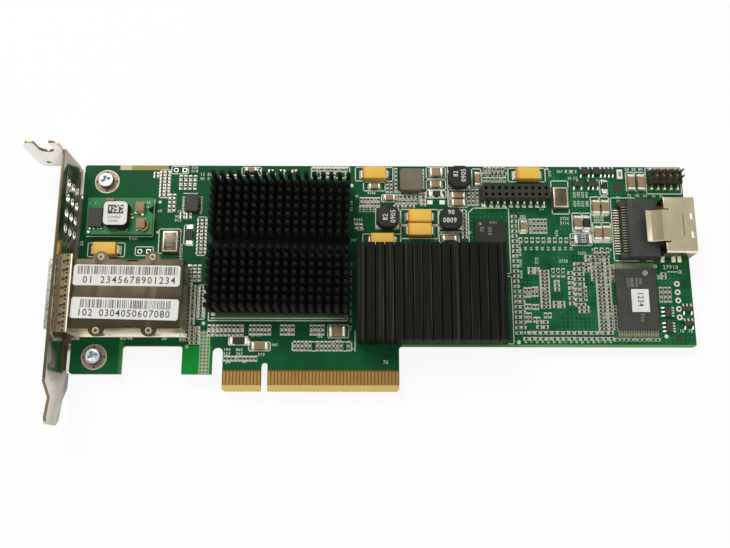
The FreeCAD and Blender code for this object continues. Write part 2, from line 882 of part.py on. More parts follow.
# A four-sided shell, with a latch spring that reaches back from its top, dips and turns up at the end
def disk_port_shell():
    low_y = disk_port_y - shell_width / 2
    high_y = disk_port_y + shell_width / 2
    under = shell_height - shell_sheet
    shell = block(shell_left_x, shell_right_x, low_y, high_y, 0, shell_height)
    shell = shell.cut(block(shell_left_x, shell_right_x, low_y + shell_sheet, high_y - shell_sheet,
                            shell_sheet, under))
    latch_low = latch_y - latch_width / 2
    latch_high = latch_y + latch_width / 2
    line = [
        (shell_left_x, shell_height),
        (shell_left_x - latch_flat, shell_height),
        (shell_left_x - latch_reach + latch_curl, shell_height - latch_drop),
        (shell_left_x - latch_reach, shell_height - latch_drop + latch_lip),
    ]
    lower_line = [(x, z - shell_sheet) for x, z in reversed(line)]
    shell = shell.fuse(prism([(x, latch_low, z) for x, z in line + lower_line], (0, latch_width, 0)))
    for y in (latch_low - latch_slot_width / 2, latch_high + latch_slot_width / 2):
        shell = shell.cut(block(shell_left_x, shell_left_x + latch_slot_depth, y - latch_slot_width / 2,
                                y + latch_slot_width / 2, under, shell_height))
    for offset in spread(2, latch_window_spacing):
        shell = shell.cut(block_on(shell_right_x - latch_window_inset, latch_y + offset, latch_window_width,
                                   latch_window_length, under, shell_height))
    return shell.removeSplitter()


def disk_port_leads():
    side = stepped_lead(housing_left_x - disk_lead_foot_x, disk_lead_height, disk_lead_thickness)
    return Part.makeCompound([lead_at(housing_left_x, disk_port_y + offset, 180, side, disk_lead_width)
                              for offset in spread(disk_lead_count, disk_lead_pitch)])


def processor():
    return block_on(processor_x, processor_y, processor_size, processor_size, 0, processor_thickness)


def processor_lid():
    return block_on(processor_x, processor_y, processor_lid_size, processor_lid_size,
                    processor_thickness, processor_top)


def processor_pad():
    size = processor_lid_size - pad_inset
    return block_on(processor_x, processor_y, size, size, processor_top, sink_seat)


# A block cut by crossed slots, so that square pins stand on one base, with one row left out
# across the middle where a spring clip would lie
def processor_heatsink():
    size = (pins_across - 1) * pin_pitch + pin_width
    top = sink_seat + sink_height
    floor = sink_seat + sink_base
    gap = pin_pitch - pin_width
    solid = block_on(sink_x, sink_y, size, size, sink_seat, top)
    along = [block_on(sink_x + offset, sink_y, gap, size, floor, top)
             for offset in spread(pins_across - 1, pin_pitch)]
    solid = solid.cut(Part.makeCompound(along))
    across = []
    for row in range(pins_across - 1):
        slot_y = sink_y + (row + 0.5 - (pins_across - 1) / 2) * pin_pitch
        if row == clip_channel_row - 1:
            channel_y = slot_y + pin_pitch / 2
            across.append(block_on(sink_x, channel_y, size, gap + pin_pitch, floor, top))
        elif row != clip_channel_row:
            across.append(block_on(sink_x, slot_y, size, gap, floor, top))
    solid = solid.cut(Part.makeCompound(across))
    return turned(solid, sink_turn, sink_x, sink_y)


def memory_places():
    row = [(memory_last_x - index * memory_pitch, memory_low_y) for index in range(memory_per_row)]
    return row + [(memory_last_x, memory_high_y)]


def memory_chips():
    return Part.makeCompound([block_on(x, y, memory_chip_width, memory_chip_length, 0, memory_chip_height)
                              for x, y in memory_places()])


# Pads under the fin heatsink, one on each chip, as far as the heatsink reaches
def memory_pads():
    pads = []
    for x, y in memory_places():
        low_y = max(y - memory_chip_length / 2, fin_sink_low_y) + 0.4
        high_y = min(y + memory_chip_length / 2, fin_sink_high_y) - 0.4
        half = memory_chip_width / 2 - 0.4
        pads.append(block(x - half, x + half, low_y, high_y, memory_chip_height, fin_sink_seat))
    return Part.makeCompound(pads)


def memory_heatsink():
    floor = fin_sink_seat + fin_sink_base
    top = fin_sink_seat + fin_sink_height
    profile = [(fin_sink_left, fin_sink_seat)]
    for index in range(fin_count):
        left = fin_sink_left + index * fin_pitch
        if index > 0:
            profile.append((left, floor))
        profile.append((left, top))
        profile.append((left + fin_thickness, top))
        if index < fin_count - 1:
            profile.append((left + fin_thickness, floor))
    profile.append((fin_sink_right, fin_sink_seat))
    return prism([(x, fin_sink_low_y, z) for x, z in profile], (0, fin_sink_high_y - fin_sink_low_y, 0))


def flash_chip():
    return block_on(flash_x, flash_y, flash_width, flash_length, flash_standoff, flash_height)


def flash_leads():
    side = short_lead(flash_lead_reach, (flash_standoff + flash_height) / 2, lead_thickness)
    leads = []
    for offset in spread(flash_lead_count, flash_lead_pitch):
        for end, angle in ((-1, -90), (1, 90)):
            leads.append(lead_at(flash_x + offset, flash_y + end * flash_length / 2, angle, side,
                                 flash_lead_width))
    return Part.makeCompound(leads)


def flash_label():
    return block_on(flash_label_x, flash_label_y, flash_label_width, flash_label_length, flash_height,
                    flash_height + label_thickness)


def regulator_board():
    board = block(module_left, module_right, module_low_y, module_high_y, module_standoff, module_base)
    notch = [
        (module_right, module_notch_y - module_notch / 2),
        (module_right - module_notch, module_notch_y + module_notch / 4),
        (module_right, module_notch_y + module_notch),
    ]
    return board.cut(upright(notch, module_standoff, module_base))


def regulator_pins():
    pins = []
    span = module_right - module_left - 4 * module_pin_inset
    for offset in spread(module_pin_count, span / (module_pin_count - 1)):
        for y in (module_low_y + module_pin_inset, module_high_y - module_pin_inset):
            x = (module_left + module_right) / 2 + offset
            pins.append(many_sided(x, y, module_pin_radius, module_pin_sides, 0, module_standoff))
    return Part.makeCompound(pins)


def regulator_coil():
    body = corner_cut_block(coil_left, coil_right, coil_low_y, coil_high_y, module_base, coil_top,
                            coil_corner)
    inset = coil_corner + coil_terminal_width / 2
    for x, y in ((coil_left + inset, coil_high_y), (coil_right - inset, coil_low_y)):
        body = body.fuse(block_on(x, y, coil_terminal_width, 2 * coil_terminal_reach, module_base,
                                  module_base + coil_terminal_height))
    return body.removeSplitter()


def regulator_label():
    x = (coil_left + coil_right) / 2
    y = (coil_low_y + coil_high_y) / 2
    half = module_label_size / 2
    return corner_cut_block(x - half, x + half, y - half, y + half, coil_top, coil_top + label_thickness,
                            module_label_corner)


def regulator_chip():
    return block(module_chip_left, module_chip_left + module_chip_width, module_chip_low_y,
                 module_chip_low_y + module_chip_length, module_base, module_base + module_chip_height)


def regulator_capacitors():
    size_x, size_y, height = module_capacitor_size
    return Part.makeCompound([block_on(x, y, size_x, size_y, module_base, module_base + height)
                              for x, y in module_capacitor_places])


def tantalum_capacitors():
    bodies = []
    for x, y in tantalum_places:
        waist = tantalum_height * 0.45
        half_x = tantalum_length / 2
        half_y = tantalum_width / 2
        slope = tantalum_draft
        side = [
            (x - half_x + slope / 2, 0.1),
            (x + half_x - slope / 2, 0.1),
            (x + half_x, waist),
            (x + half_x - slope, tantalum_height),
            (x - half_x + slope, tantalum_height),
            (x - half_x, waist),
        ]
        end = [
            (y - half_y, 0.1),
            (y + half_y, 0.1),
            (y + half_y, waist),
            (y + half_y - slope, tantalum_height),
            (y - half_y + slope, tantalum_height),
            (y - half_y, waist),
        ]
        long_way = prism([(px, y - half_y, pz) for px, pz in side], (0, tantalum_width, 0))
        cross_way = prism([(x - half_x, py, pz) for py, pz in end], (tantalum_length, 0, 0))
        bodies.append(long_way.common(cross_way))
    return Part.makeCompound(bodies)


def tantalum_terminals():
    terminals = []
    for x, y in tantalum_places:
        for side in (-1, 1):
            edge = x + side * tantalum_length / 2
            outer = edge + side * tantalum_terminal_reach
            terminals.append(block(min(edge, outer), max(edge, outer), y - tantalum_terminal_width / 2,
                                   y + tantalum_terminal_width / 2, 0, tantalum_terminal_height))
    return Part.makeCompound(terminals)


def chip_bodies(places):
    bodies = []
    for x, y, length, width, height, is_upright in places:
        body_length = length * (1 - 2 * ceramic_end_share)
        bodies.append(laid(x, y, body_length, width, 0, height, is_upright))
    return Part.makeCompound(bodies)


def chip_ends(places):
    ends = []
    for x, y, length, width, height, is_upright in places:
        end_length = length * ceramic_end_share
        for side in (-1, 1):
            offset = side * (length - end_length) / 2
            end_x, end_y = (x, y + offset) if is_upright else (x + offset, y)
            ends.append(laid(end_x, end_y, end_length, width, 0, height, is_upright))
    return Part.makeCompound(ends)


def power_coils():
    half = power_coil_size / 2
    return Part.makeCompound([corner_cut_block(x - half, x + half, y - half, y + half, coil_foot_height,
                                               power_coil_height, power_coil_cut) for x, y in coil_places])


def power_coil_feet():
    return Part.makeCompound([block_on(x, y, power_coil_size, coil_foot_size, 0, coil_foot_height)
                              for x, y in coil_places])


def shielded_coil():
    half_width = shielded_coil_width / 2
    half_length = shielded_coil_length / 2
    return corner_cut_block(shielded_coil_x - half_width, shielded_coil_x + half_width,
                            shielded_coil_y - half_length, shielded_coil_y + half_length,
                            0, shielded_coil_height, shielded_coil_corner)


def oscillator_bases():
    return Part.makeCompound([block_on(x, y, oscillator_width, oscillator_length, 0, oscillator_base)
                              for x, y in oscillator_places])


def oscillator_lids():
    width = oscillator_width - 2 * oscillator_rim
    length = oscillator_length - 2 * oscillator_rim
    return Part.makeCompound([block_on(x, y, width, length, oscillator_base, oscillator_base + oscillator_lid)
                              for x, y in oscillator_places])


def clock_chip():
    return block_on(clock_x, clock_y, clock_width, clock_length, clock_standoff, clock_height)


def clock_leads():
    side = sloping_lead(clock_lead_reach, (clock_standoff + clock_height) / 2, lead_thickness)
    leads = []
    for offset in spread(clock_lead_count, clock_lead_pitch):
        for end, angle in ((-1, 180), (1, 0)):
            leads.append(lead_at(clock_x + end * clock_width / 2, clock_y + offset, angle, side,
                                 clock_lead_width))
    return Part.makeCompound(leads)


def socket_header():
    body = block_on(socket_x, socket_y, socket_length, socket_width, socket_low_z, socket_height)
    holes = []
    for x in spread(socket_columns, socket_pitch):
        for y in spread(2, socket_pitch):
            holes.append(block_on(socket_x + x, socket_y + y, socket_hole, socket_hole,
                                  socket_height - socket_hole_depth, socket_height))
    return body.cut(Part.makeCompound(holes))


def socket_leads():
    side = sloping_lead(socket_lead_reach, header_lead_shoulder, header_lead_thickness)
    leads = []
    for offset in spread(socket_columns, socket_pitch):
        for end, angle in ((-1, -90), (1, 90)):
            leads.append(lead_at(socket_x + offset, socket_y + end * socket_width / 2, angle, side,
                                 socket_lead_width))
    return Part.makeCompound(leads)


def pin_header():
    length = (pin_header_columns - 1) * pin_header_pitch
    return block(pin_header_first_x - pin_header_end, pin_header_first_x + length + pin_header_end,
                 pin_header_y - pin_header_width / 2, pin_header_y + pin_header_width / 2,
                 pin_header_low_z, pin_header_top_z)


def pin_header_pins():
    side = sloping_lead(pin_foot_reach, header_lead_shoulder, header_lead_thickness)
    pins = []
    for column in range(pin_header_columns):
        x = pin_header_first_x + column * pin_header_pitch
        for row, angle in ((-1, -90), (1, 90)):
            y = pin_header_y + row * pin_header_pitch / 2
            pins.append(block_on(x, y, pin_size, pin_size, pin_header_top_z, pin_top_z))
            pins.append(lead_at(x, pin_header_y + row * pin_header_width / 2, angle, side, pin_size))
    return Part.makeCompound(pins)


def small_chips():
    return Part.makeCompound([laid(x, y, length, width, 0, small_chip_height, is_upright)
                              for x, y, length, width, is_upright in small_chip_places])


pieces = {
    "circuit_board": circuit_board(),
    "edge_contacts": edge_contacts(),
    "bracket": bracket(),
    "bracket_screws": bracket_screws(),
    "port_cage": port_cage(),
    "port_rivets": port_rivets(),
    "port_gasket": port_gasket(),
    "port_receptacle": port_receptacle(),
    "port_contacts": port_contacts(),
    "port_labels": port_labels(),
    "disk_port_housing": disk_port_housing(),
    "disk_port_shell": disk_port_shell(),
    "disk_port_leads": disk_port_leads(),
    "processor": processor(),
    "processor_lid": processor_lid(),
    "processor_pad": processor_pad(),
    "processor_heatsink": processor_heatsink(),
    "memory_chips": memory_chips(),
    "memory_pads": memory_pads(),
    "memory_heatsink": memory_heatsink(),
    "flash_chip": flash_chip(),
    "flash_leads": flash_leads(),
    "flash_label": flash_label(),
    "regulator_board": regulator_board(),
    "regulator_pins": regulator_pins(),
    "regulator_coil": regulator_coil(),
    "regulator_label": regulator_label(),
    "regulator_chip": regulator_chip(),
    "regulator_capacitors": regulator_capacitors(),
    "tantalum_capacitors": tantalum_capacitors(),
    "tantalum_terminals": tantalum_terminals(),
    "ceramic_capacitors": chip_bodies(ceramic_places),
    "ceramic_terminals": chip_ends(ceramic_places),
    "chip_resistors": chip_bodies(resistor_places),
    "resistor_terminals": chip_ends(resistor_places),
    "ferrite_bead": chip_bodies(ferrite_places),
    "ferrite_terminals": chip_ends(ferrite_places),
    "power_coils": power_coils(),
    "power_coil_feet": power_coil_feet(),
    "shielded_coil": shielded_coil(),
    "oscillator_bases": oscillator_bases(),
    "oscillator_lids": oscillator_lids(),
    "clock_chip": clock_chip(),
    "clock_leads": clock_leads(),
    "socket_header": socket_header(),
    "socket_leads": socket_leads(),
    "pin_header": pin_header(),
    "pin_header_pins": pin_header_pins(),
    "small_chips": small_chips(),
}

os.makedirs("parts", exist_ok=True)
for name, shape in pieces.items():
    shape.exportStep("parts/" + name + ".step")
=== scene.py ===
import json
import math
import random

import bmesh
import bpy
from mathutils import Matrix, Vector


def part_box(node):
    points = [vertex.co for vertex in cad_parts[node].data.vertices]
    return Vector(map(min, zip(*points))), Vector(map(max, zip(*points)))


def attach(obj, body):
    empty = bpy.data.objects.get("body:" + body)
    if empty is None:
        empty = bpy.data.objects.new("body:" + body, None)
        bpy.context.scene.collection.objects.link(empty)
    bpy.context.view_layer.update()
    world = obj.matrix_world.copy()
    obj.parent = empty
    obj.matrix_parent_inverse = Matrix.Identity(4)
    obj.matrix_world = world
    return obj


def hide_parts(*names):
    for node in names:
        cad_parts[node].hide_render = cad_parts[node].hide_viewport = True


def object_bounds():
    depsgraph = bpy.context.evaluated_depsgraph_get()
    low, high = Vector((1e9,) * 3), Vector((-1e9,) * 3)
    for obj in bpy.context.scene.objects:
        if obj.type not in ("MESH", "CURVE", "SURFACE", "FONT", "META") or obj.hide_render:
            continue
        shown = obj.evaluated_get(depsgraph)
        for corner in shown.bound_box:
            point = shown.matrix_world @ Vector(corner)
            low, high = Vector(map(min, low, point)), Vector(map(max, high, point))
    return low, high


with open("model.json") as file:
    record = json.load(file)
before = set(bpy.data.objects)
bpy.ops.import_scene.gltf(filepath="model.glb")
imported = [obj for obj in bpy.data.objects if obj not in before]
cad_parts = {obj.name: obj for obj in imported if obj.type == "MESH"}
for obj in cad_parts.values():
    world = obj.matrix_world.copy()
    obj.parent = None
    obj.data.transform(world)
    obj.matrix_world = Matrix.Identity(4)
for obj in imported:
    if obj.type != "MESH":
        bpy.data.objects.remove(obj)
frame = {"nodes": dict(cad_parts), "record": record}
cad_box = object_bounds()
nodes = frame["nodes"]

# Low-profile storage controller card. Sizes and places here are in millimetres, in the card's own
# axes: +X from the bracket to the far end, +Y from the edge connector to the top edge, and +Z out
# of the component side. A piece becomes metres as it is finished.
MILLIMETRE = 0.001
# Corners closer than this are one, and edges that turn more than this many degrees are sharp
merge_distance = 0.0005
sharp_edge = 30


# Node trees

class Wiring:
    """A node tree, with one way to add a node and to join what feeds it."""

    def __init__(self, tree):
        self.tree = tree

    def join(self, entry, value):
        if isinstance(value, Value):
            value = value.socket
        if isinstance(value, bpy.types.NodeSocket):
            self.tree.links.new(value, entry)
        else:
            entry.default_value = value

    def add(self, kind, settings, *values, **named):
        """Adds a node with its settings made first, then its values and links, in order or by name."""
        node = self.tree.nodes.new(kind)
        for key, setting in settings.items():
            setattr(node, key, setting)
        for index, value in enumerate(values):
            self.join(node.inputs[index], value)
        for key, value in named.items():
            self.join(node.inputs[key.replace("_", " ")], value)
        return node


class Value:
    """A number that varies over a surface. Sums and products of it add Math nodes."""

    def __init__(self, finish, socket):
        self.finish = finish
        self.socket = socket

    def math(self, operation, *others):
        return self.finish.node("ShaderNodeMath", {"operation": operation}, self, *others)

    def __add__(self, other):
        return self.math("ADD", other)

    def __sub__(self, other):
        return self.math("SUBTRACT", other)

    def __rsub__(self, other):
        return self.finish.node("ShaderNodeMath", {"operation": "SUBTRACT"}, other, self)

    def __mul__(self, other):
        return self.math("MULTIPLY", other)

    def __truediv__(self, other):
        return self.math("DIVIDE", other)

    def __gt__(self, limit):
        return self.math("GREATER_THAN", limit)

    def __lt__(self, limit):
        return self.math("LESS_THAN", limit)

    __radd__ = __add__
    __rmul__ = __mul__

    def within(self, low, high):
        return (self > low) * (self < high)

    def ramp(self, low, high):
        """0 below the low value and 1 above the high one."""
        share = (self - low) / (high - low)
        return share.math("MAXIMUM", 0.0).math("MINIMUM", 1.0)

    def repeat(self, pitch):
        """How far along its own step each place lies, from 0 to 1."""
        return (self / pitch).math("FRACT")


def tone(red, green, blue):
    """A colour read off the object, from 0 to 255, as the shader wants it."""
    levels = [level / 255 for level in (red, green, blue)]
    return tuple(((level + 0.055) / 1.055) ** 2.4 if level > 0.04 else level / 12.92
                 for level in levels) + (1.0,)


class Finish(Wiring):
    """One material, painted from values on the object's own coordinates in millimetres."""

    def __init__(self, name, colour, roughness, metallic=0.0, specular=0.2):
        self.material = bpy.data.materials.new(name)
        self.material.use_nodes = True
        super().__init__(self.material.node_tree)
        self.shader = self.tree.nodes["Principled BSDF"]
        self.colour = colour
        self.set("Base Color", colour)
        self.set("Roughness", roughness)
        self.set("Metallic", metallic)
        self.set("Specular IOR Level", 0.5 if metallic else specular)
        coordinates = self.add("ShaderNodeTexCoord", {}).outputs["Object"]
        self.place = self.node("ShaderNodeVectorMath", {"operation": "SCALE"}, coordinates,
                               Scale=1 / MILLIMETRE)
        self.x, self.y, self.z = self.split(self.place)

    def node(self, kind, settings, *values, **named):
        return Value(self, self.add(kind, settings, *values, **named).outputs[0])

    def split(self, vector):
        """The three parts of a vector or a colour."""
        return [Value(self, part) for part in self.add("ShaderNodeSeparateXYZ", {}, vector).outputs]

    def set(self, name, value):
        self.join(self.shader.inputs[name], value)

    def clouds(self, size, detail=2.0, stretch=(1.0, 1.0, 1.0)):
        """Soft patches about that many millimetres across, from 0 to 1."""
        place = self.node("ShaderNodeMapping", {}, self.place, Scale=stretch)
        return self.node("ShaderNodeTexNoise", {}, Vector=place, Scale=1 / size, Detail=detail)

    def mix(self, first, second, share):
        node = self.add("ShaderNodeMix", {"data_type": "RGBA"})
        for entry, value in (("Factor_Float", share), ("A_Color", first), ("B_Color", second)):
            self.join(next(s for s in node.inputs if s.identifier == entry), value)
        return next(s for s in node.outputs if s.identifier == "Result_Color")

    def paint(self, colour, share):
        """Lays a colour over what is there, where the share says."""
        self.colour = self.mix(self.colour, colour, share)
        self.set("Base Color", self.colour)

    def relief(self, height, depth):
        """Raises the surface by that height, from 0 to 1, times a depth in millimetres."""
        bump = self.node("ShaderNodeBump", {}, Strength=1.0, Distance=depth * MILLIMETRE, Height=height)
        self.set("Normal", bump)

    def facing(self, axis):
        """One on faces that look along an axis, either way."""
        normal = self.add("ShaderNodeNewGeometry", {}).outputs["Normal"]
        return self.split(normal)[axis].math("ABSOLUTE") > 0.7

    def facing_up(self):
        return self.facing(2)

    def area(self, left, right, low, high):
        """One inside an upright rectangle of the card's plan."""
        return self.x.within(left, right) * self.y.within(low, high)


# Solids of the frame

def merged(node):
    """A node's solids in millimetres, each with its loose triangles joined."""
    shape = bmesh.new()
    shape.from_mesh(nodes[node].data)
    shape.transform(Matrix.Scale(1 / MILLIMETRE, 4))
    bmesh.ops.remove_doubles(shape, verts=shape.verts, dist=merge_distance)
    return shape


def solids_of(node):
    """The lowest and highest corners of each of a node's solids, in millimetres."""
    shape = merged(node)
    boxes, seen = [], set()
    for start in shape.verts:
        if start in seen:
            continue
        seen.add(start)
        waiting, points = [start], []
        while waiting:
            vertex = waiting.pop()
            points.append(vertex.co.copy())
            for edge in vertex.link_edges:
                other = edge.other_vert(vertex)
                if other not in seen:
                    seen.add(other)
                    waiting.append(other)
        boxes.append(tuple(Vector([end(point[axis] for point in points) for axis in range(3)])
                           for end in (min, max)))
    shape.free()
    return boxes


def span(node):
    """A node's lowest and highest corners in millimetres."""
    low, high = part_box(node)
    return low / MILLIMETRE, high / MILLIMETRE


# Finishes

def moulded_finish(name, colour, sheen_colour, roughness=0.5, grain=0.35, depth=0.012, specular=0.2):
    """Moulded plastic or resin: a fine grain, and patches a little paler from handling."""
    finish = Finish(name, colour, roughness, specular=specular)
    finish.paint(sheen_colour, finish.clouds(2.4).ramp(0.35, 0.8) * 0.5)
    fine = finish.clouds(grain)
    finish.set("Roughness", fine * 0.16 + (roughness - 0.08))
    finish.relief(fine, depth)
    return finish


def metal_finish(name, colour, stain, roughness=0.3, size=1.6, stretch=(1.0, 1.0, 1.0), depth=0.006):
    """Plated or drawn metal: a soft stain, and streaks that catch the light."""
    finish = Finish(name, colour, roughness, metallic=1.0)
    streaks = finish.clouds(size, 3.0, stretch)
    finish.paint(stain, streaks.ramp(0.4, 0.75) * 0.6)
    finish.set("Roughness", finish.clouds(size * 0.6, 2.0, stretch) * 0.2 + (roughness - 0.1))
    finish.relief(finish.clouds(0.25, 2.0, stretch), depth)
    return finish


def mask_finish():
    """Solder mask over copper: dark green, paler along the tracks, bare at the edges."""
    finish = Finish("solder_mask", tone(19, 76, 43), 0.42, specular=0.05)
    finish.paint(tone(16, 84, 46), finish.clouds(9.0, 1.0).ramp(0.45, 0.62))
    finish.paint(tone(32, 98, 58), finish.x.ramp(56, 84) * finish.clouds(5.0).ramp(0.38, 0.6))
    # Tracks run along or across, region by region, and some regions have none
    region_size, track_pitch = 6.5, 0.62
    regions = finish.add("ShaderNodeTexVoronoi", {"distance": "MANHATTAN"}, Vector=finish.place,
                         Scale=1 / region_size)
    picks = finish.split(regions.outputs["Color"])
    runs_across = picks[0] > 0.5
    along = runs_across * finish.y + (1.0 - runs_across) * finish.x
    tracks = along.repeat(track_pitch).within(0.2, 0.6) * (picks[1] > 0.35)
    finish.paint(tone(26, 100, 58), tracks * 0.5)
    finish.relief(tracks, 0.02)
    finish.set("Roughness", finish.clouds(3.0) * 0.14 + 0.3)
    # Filled vias in a grid, where there are many
    via_pitch = 1.27
    across = finish.x.repeat(via_pitch) - 0.5
    upwards = finish.y.repeat(via_pitch) - 0.5
    vias = (across * across + upwards * upwards) < 0.03
    crowded = (finish.clouds(11.0, 0.0) > 0.47) * (finish.x > 42.0)
    finish.paint(tone(84, 140, 100), vias * crowded * 0.55)
    # The tab beside the relief is a clearer green, with a hatched strip of bare plating
    finish.paint(tone(18, 138, 50), finish.area(-23.9, -15.5, 4.0, 13.1))
    hatch_pitch = 1.0
    hatch = finish.area(-19.0, -16.0, 4.9, 17.6)
    squares = (finish.x.repeat(hatch_pitch).within(0.25, 0.75)
               * finish.y.repeat(hatch_pitch).within(0.25, 0.75))
    finish.paint(tone(160, 178, 142), hatch)
    finish.paint(tone(62, 102, 58), hatch * squares)
    # Paler places at the lower edge, and bare plating at the top edge
    finish.paint(tone(40, 122, 54), finish.x.within(-42.4, -41.0) * (finish.y < 14.5))
    finish.paint(tone(96, 156, 84), (finish.x > 40.0) * (finish.y < 13.7))
    strip = finish.x.within(-45.9, -31.0) * (finish.y > 67.4)
    finish.paint(tone(168, 148, 84), strip)
    finish.paint(tone(212, 196, 166), strip * finish.x.within(-45.6, -42.2))
    # No mask between the gold contacts, and gold-brown laminate on their bevel
    tongue = finish.x.within(-12.3, 39.3) * (finish.y < 6.1)
    finish.paint(tone(112, 84, 44), tongue)
    finish.paint(tone(222, 194, 112), tongue * (finish.y < 1.75))
    finish.paint(tone(128, 124, 78), 1.0 - finish.facing_up())
    return finish


def bracket_finish():
    """Plated sheet: painted highlight on its flange, painted reflections on the plate, dark cut edges.
    """
    finish = metal_finish("bracket_nickel", tone(226, 219, 209), tone(204, 195, 183), 0.2, 5.0,
                          (1.0, 0.15, 1.0))
    sheet = finish.x.within(-58.75, -57.65) * (finish.y < 68.5)
    top_edge = finish.facing_up() * (finish.z > 14.2)
    cut_edges = (1.0 - finish.facing(0)) * finish.x.within(-58.3, -58.05)
    middle = finish.z.ramp(9.5, 12.0) * finish.y.within(43.0, 62.0)
    # Painted reflection of the card on the plate: paler grey-brown towards the flange, brown in the
    # middle band
    finish.paint(tone(160, 150, 136), sheet * finish.y.ramp(58.0, 66.0) * 0.9)
    finish.paint(tone(110, 98, 72), sheet * middle * 0.85)
    finish.paint(tone(92, 78, 60), sheet * top_edge)
    finish.paint(tone(84, 90, 70), sheet * cut_edges)
    # Painted highlight: the flange painted paler than the plate, its edges brown
    flange = (finish.y > 68.5) * (finish.x < -59.4)
    finish.paint(tone(242, 237, 230), flange)
    finish.paint(tone(122, 104, 84), flange * (1.0 - finish.facing(1)))
    finish.paint(tone(128, 114, 96), finish.facing_up() * (finish.z > 5.0) * (finish.y < 2.0))
    return finish


def cage_finish():
    """Drawn nickel: painted dark reflection on the flat top, painted highlight on near skirts and ears.
    """
    finish = metal_finish("cage_nickel", tone(188, 178, 158), tone(138, 128, 106), 0.3, 3.0,
                          (0.4, 1.0, 1.0))
    # Painted reflection: the flat top painted dark, with darker streaks
    top = finish.facing_up() * (finish.z > 9.0)
    finish.paint(tone(74, 68, 53), top)
    finish.paint(tone(60, 54, 41), top * finish.clouds(9.0, 2.0, (0.15, 1.0, 1.0)).ramp(0.45, 0.65))
    # Painted highlight on the skirts and ears at the near side
    finish.paint(tone(236, 227, 208), (finish.y < 17.0) * (finish.z < 9.3) * (finish.x > -56.0))
    # The mouth outside the bracket is dull and pale
    mouth = finish.x < -58.0
    finish.paint(tone(160, 164, 154), mouth)
    finish.paint(tone(118, 120, 110), mouth * finish.clouds(0.9, 3.0).ramp(0.5, 0.62))
    return finish


def gasket_finish():
    """Spring fingers: brown, streaked on the left, painted shade in a row of gaps, and a pale right
    edge.
    """
    finish = metal_finish("gasket_nickel", tone(112, 100, 78), tone(92, 82, 62), 0.42, 1.2)
    finger_pitch = 1.27
    streaks = finish.clouds(1.2, 3.0, (1.0, 0.1, 1.0)).ramp(0.4, 0.6)
    gaps = finish.y.repeat(finger_pitch).within(0.2, 0.62)
    finish.paint(tone(132, 120, 98), (finish.x < -56.4) * streaks)
    # Painted shade in the row of gaps between the fingers
    finish.paint(tone(44, 37, 27), gaps * finish.x.within(-55.9, -55.2))
    finish.paint(tone(84, 74, 58), finish.x.within(-56.5, -56.3))
    finish.paint(tone(192, 186, 170), finish.x > -54.7)
    return finish


def lid_finish():
    """Oscillator lids: a painted brown reflection inside a pale weld rim."""
    finish = metal_finish("lid_gold", tone(198, 182, 150), tone(160, 144, 112), 0.34, 0.8)
    rim = 0.42
    for low, high in solids_of("oscillator_lids"):
        inside = finish.area(low.x + rim, high.x - rim, low.y + rim, high.y - rim)
        # Painted reflection inside the rim: brown with paler patches
        finish.paint(tone(80, 74, 62), inside)
        finish.paint(tone(92, 85, 70), inside * finish.clouds(1.6).ramp(0.4, 0.6))
    return finish


def shell_finish():
    """Disk port shell: painted shade and highlight on the spring's bends and near edge; a dark line by
    its windows.
    """
    finish = metal_finish("shell_nickel", tone(176, 167, 138), tone(160, 151, 123), 0.26, 3.0,
                          (1.0, 0.3, 1.0))
    spring = finish.y.within(43.5, 52.5)
    # Painted shade on the spring's sloping bend and a painted highlight on its curled end
    finish.paint(tone(146, 134, 106), spring * finish.x.within(113.4, 116.4))
    finish.paint(tone(192, 183, 156), spring * (finish.x < 113.4))
    finish.paint(tone(128, 118, 92), finish.area(122.25, 122.6, 44.5, 51.2))
    # Painted highlight along the shell's near top edge
    finish.paint(tone(226, 218, 194), (finish.y < 40.0) * (finish.z > 6.5))
    return finish


def tantalum_finish():
    """Yellow moulded resin, browner at its left end."""
    finish = moulded_finish("tantalum_resin", tone(234, 186, 76), tone(240, 198, 98), 0.5, 0.5)
    margin, brown_end = 0.1, 1.1
    for low, high in solids_of("tantalum_capacitors"):
        own = finish.area(low.x - margin, low.x + brown_end, low.y - margin, high.y + margin)
        finish.paint(tone(214, 150, 74), own * (1.0 - (finish.x - low.x).ramp(0.3, brown_end)))
    return finish


def pin_finish():
    """Black anodise: greyer down the pins' sides, with painted shade darkening their tops."""
    finish = moulded_finish("black_anodise", tone(38, 40, 35), tone(50, 52, 46), 0.5, 0.3, 0.01, 0.08)
    # Painted shade: the up-facing tops painted near black
    finish.paint(tone(8, 11, 8), finish.facing_up())
    return finish


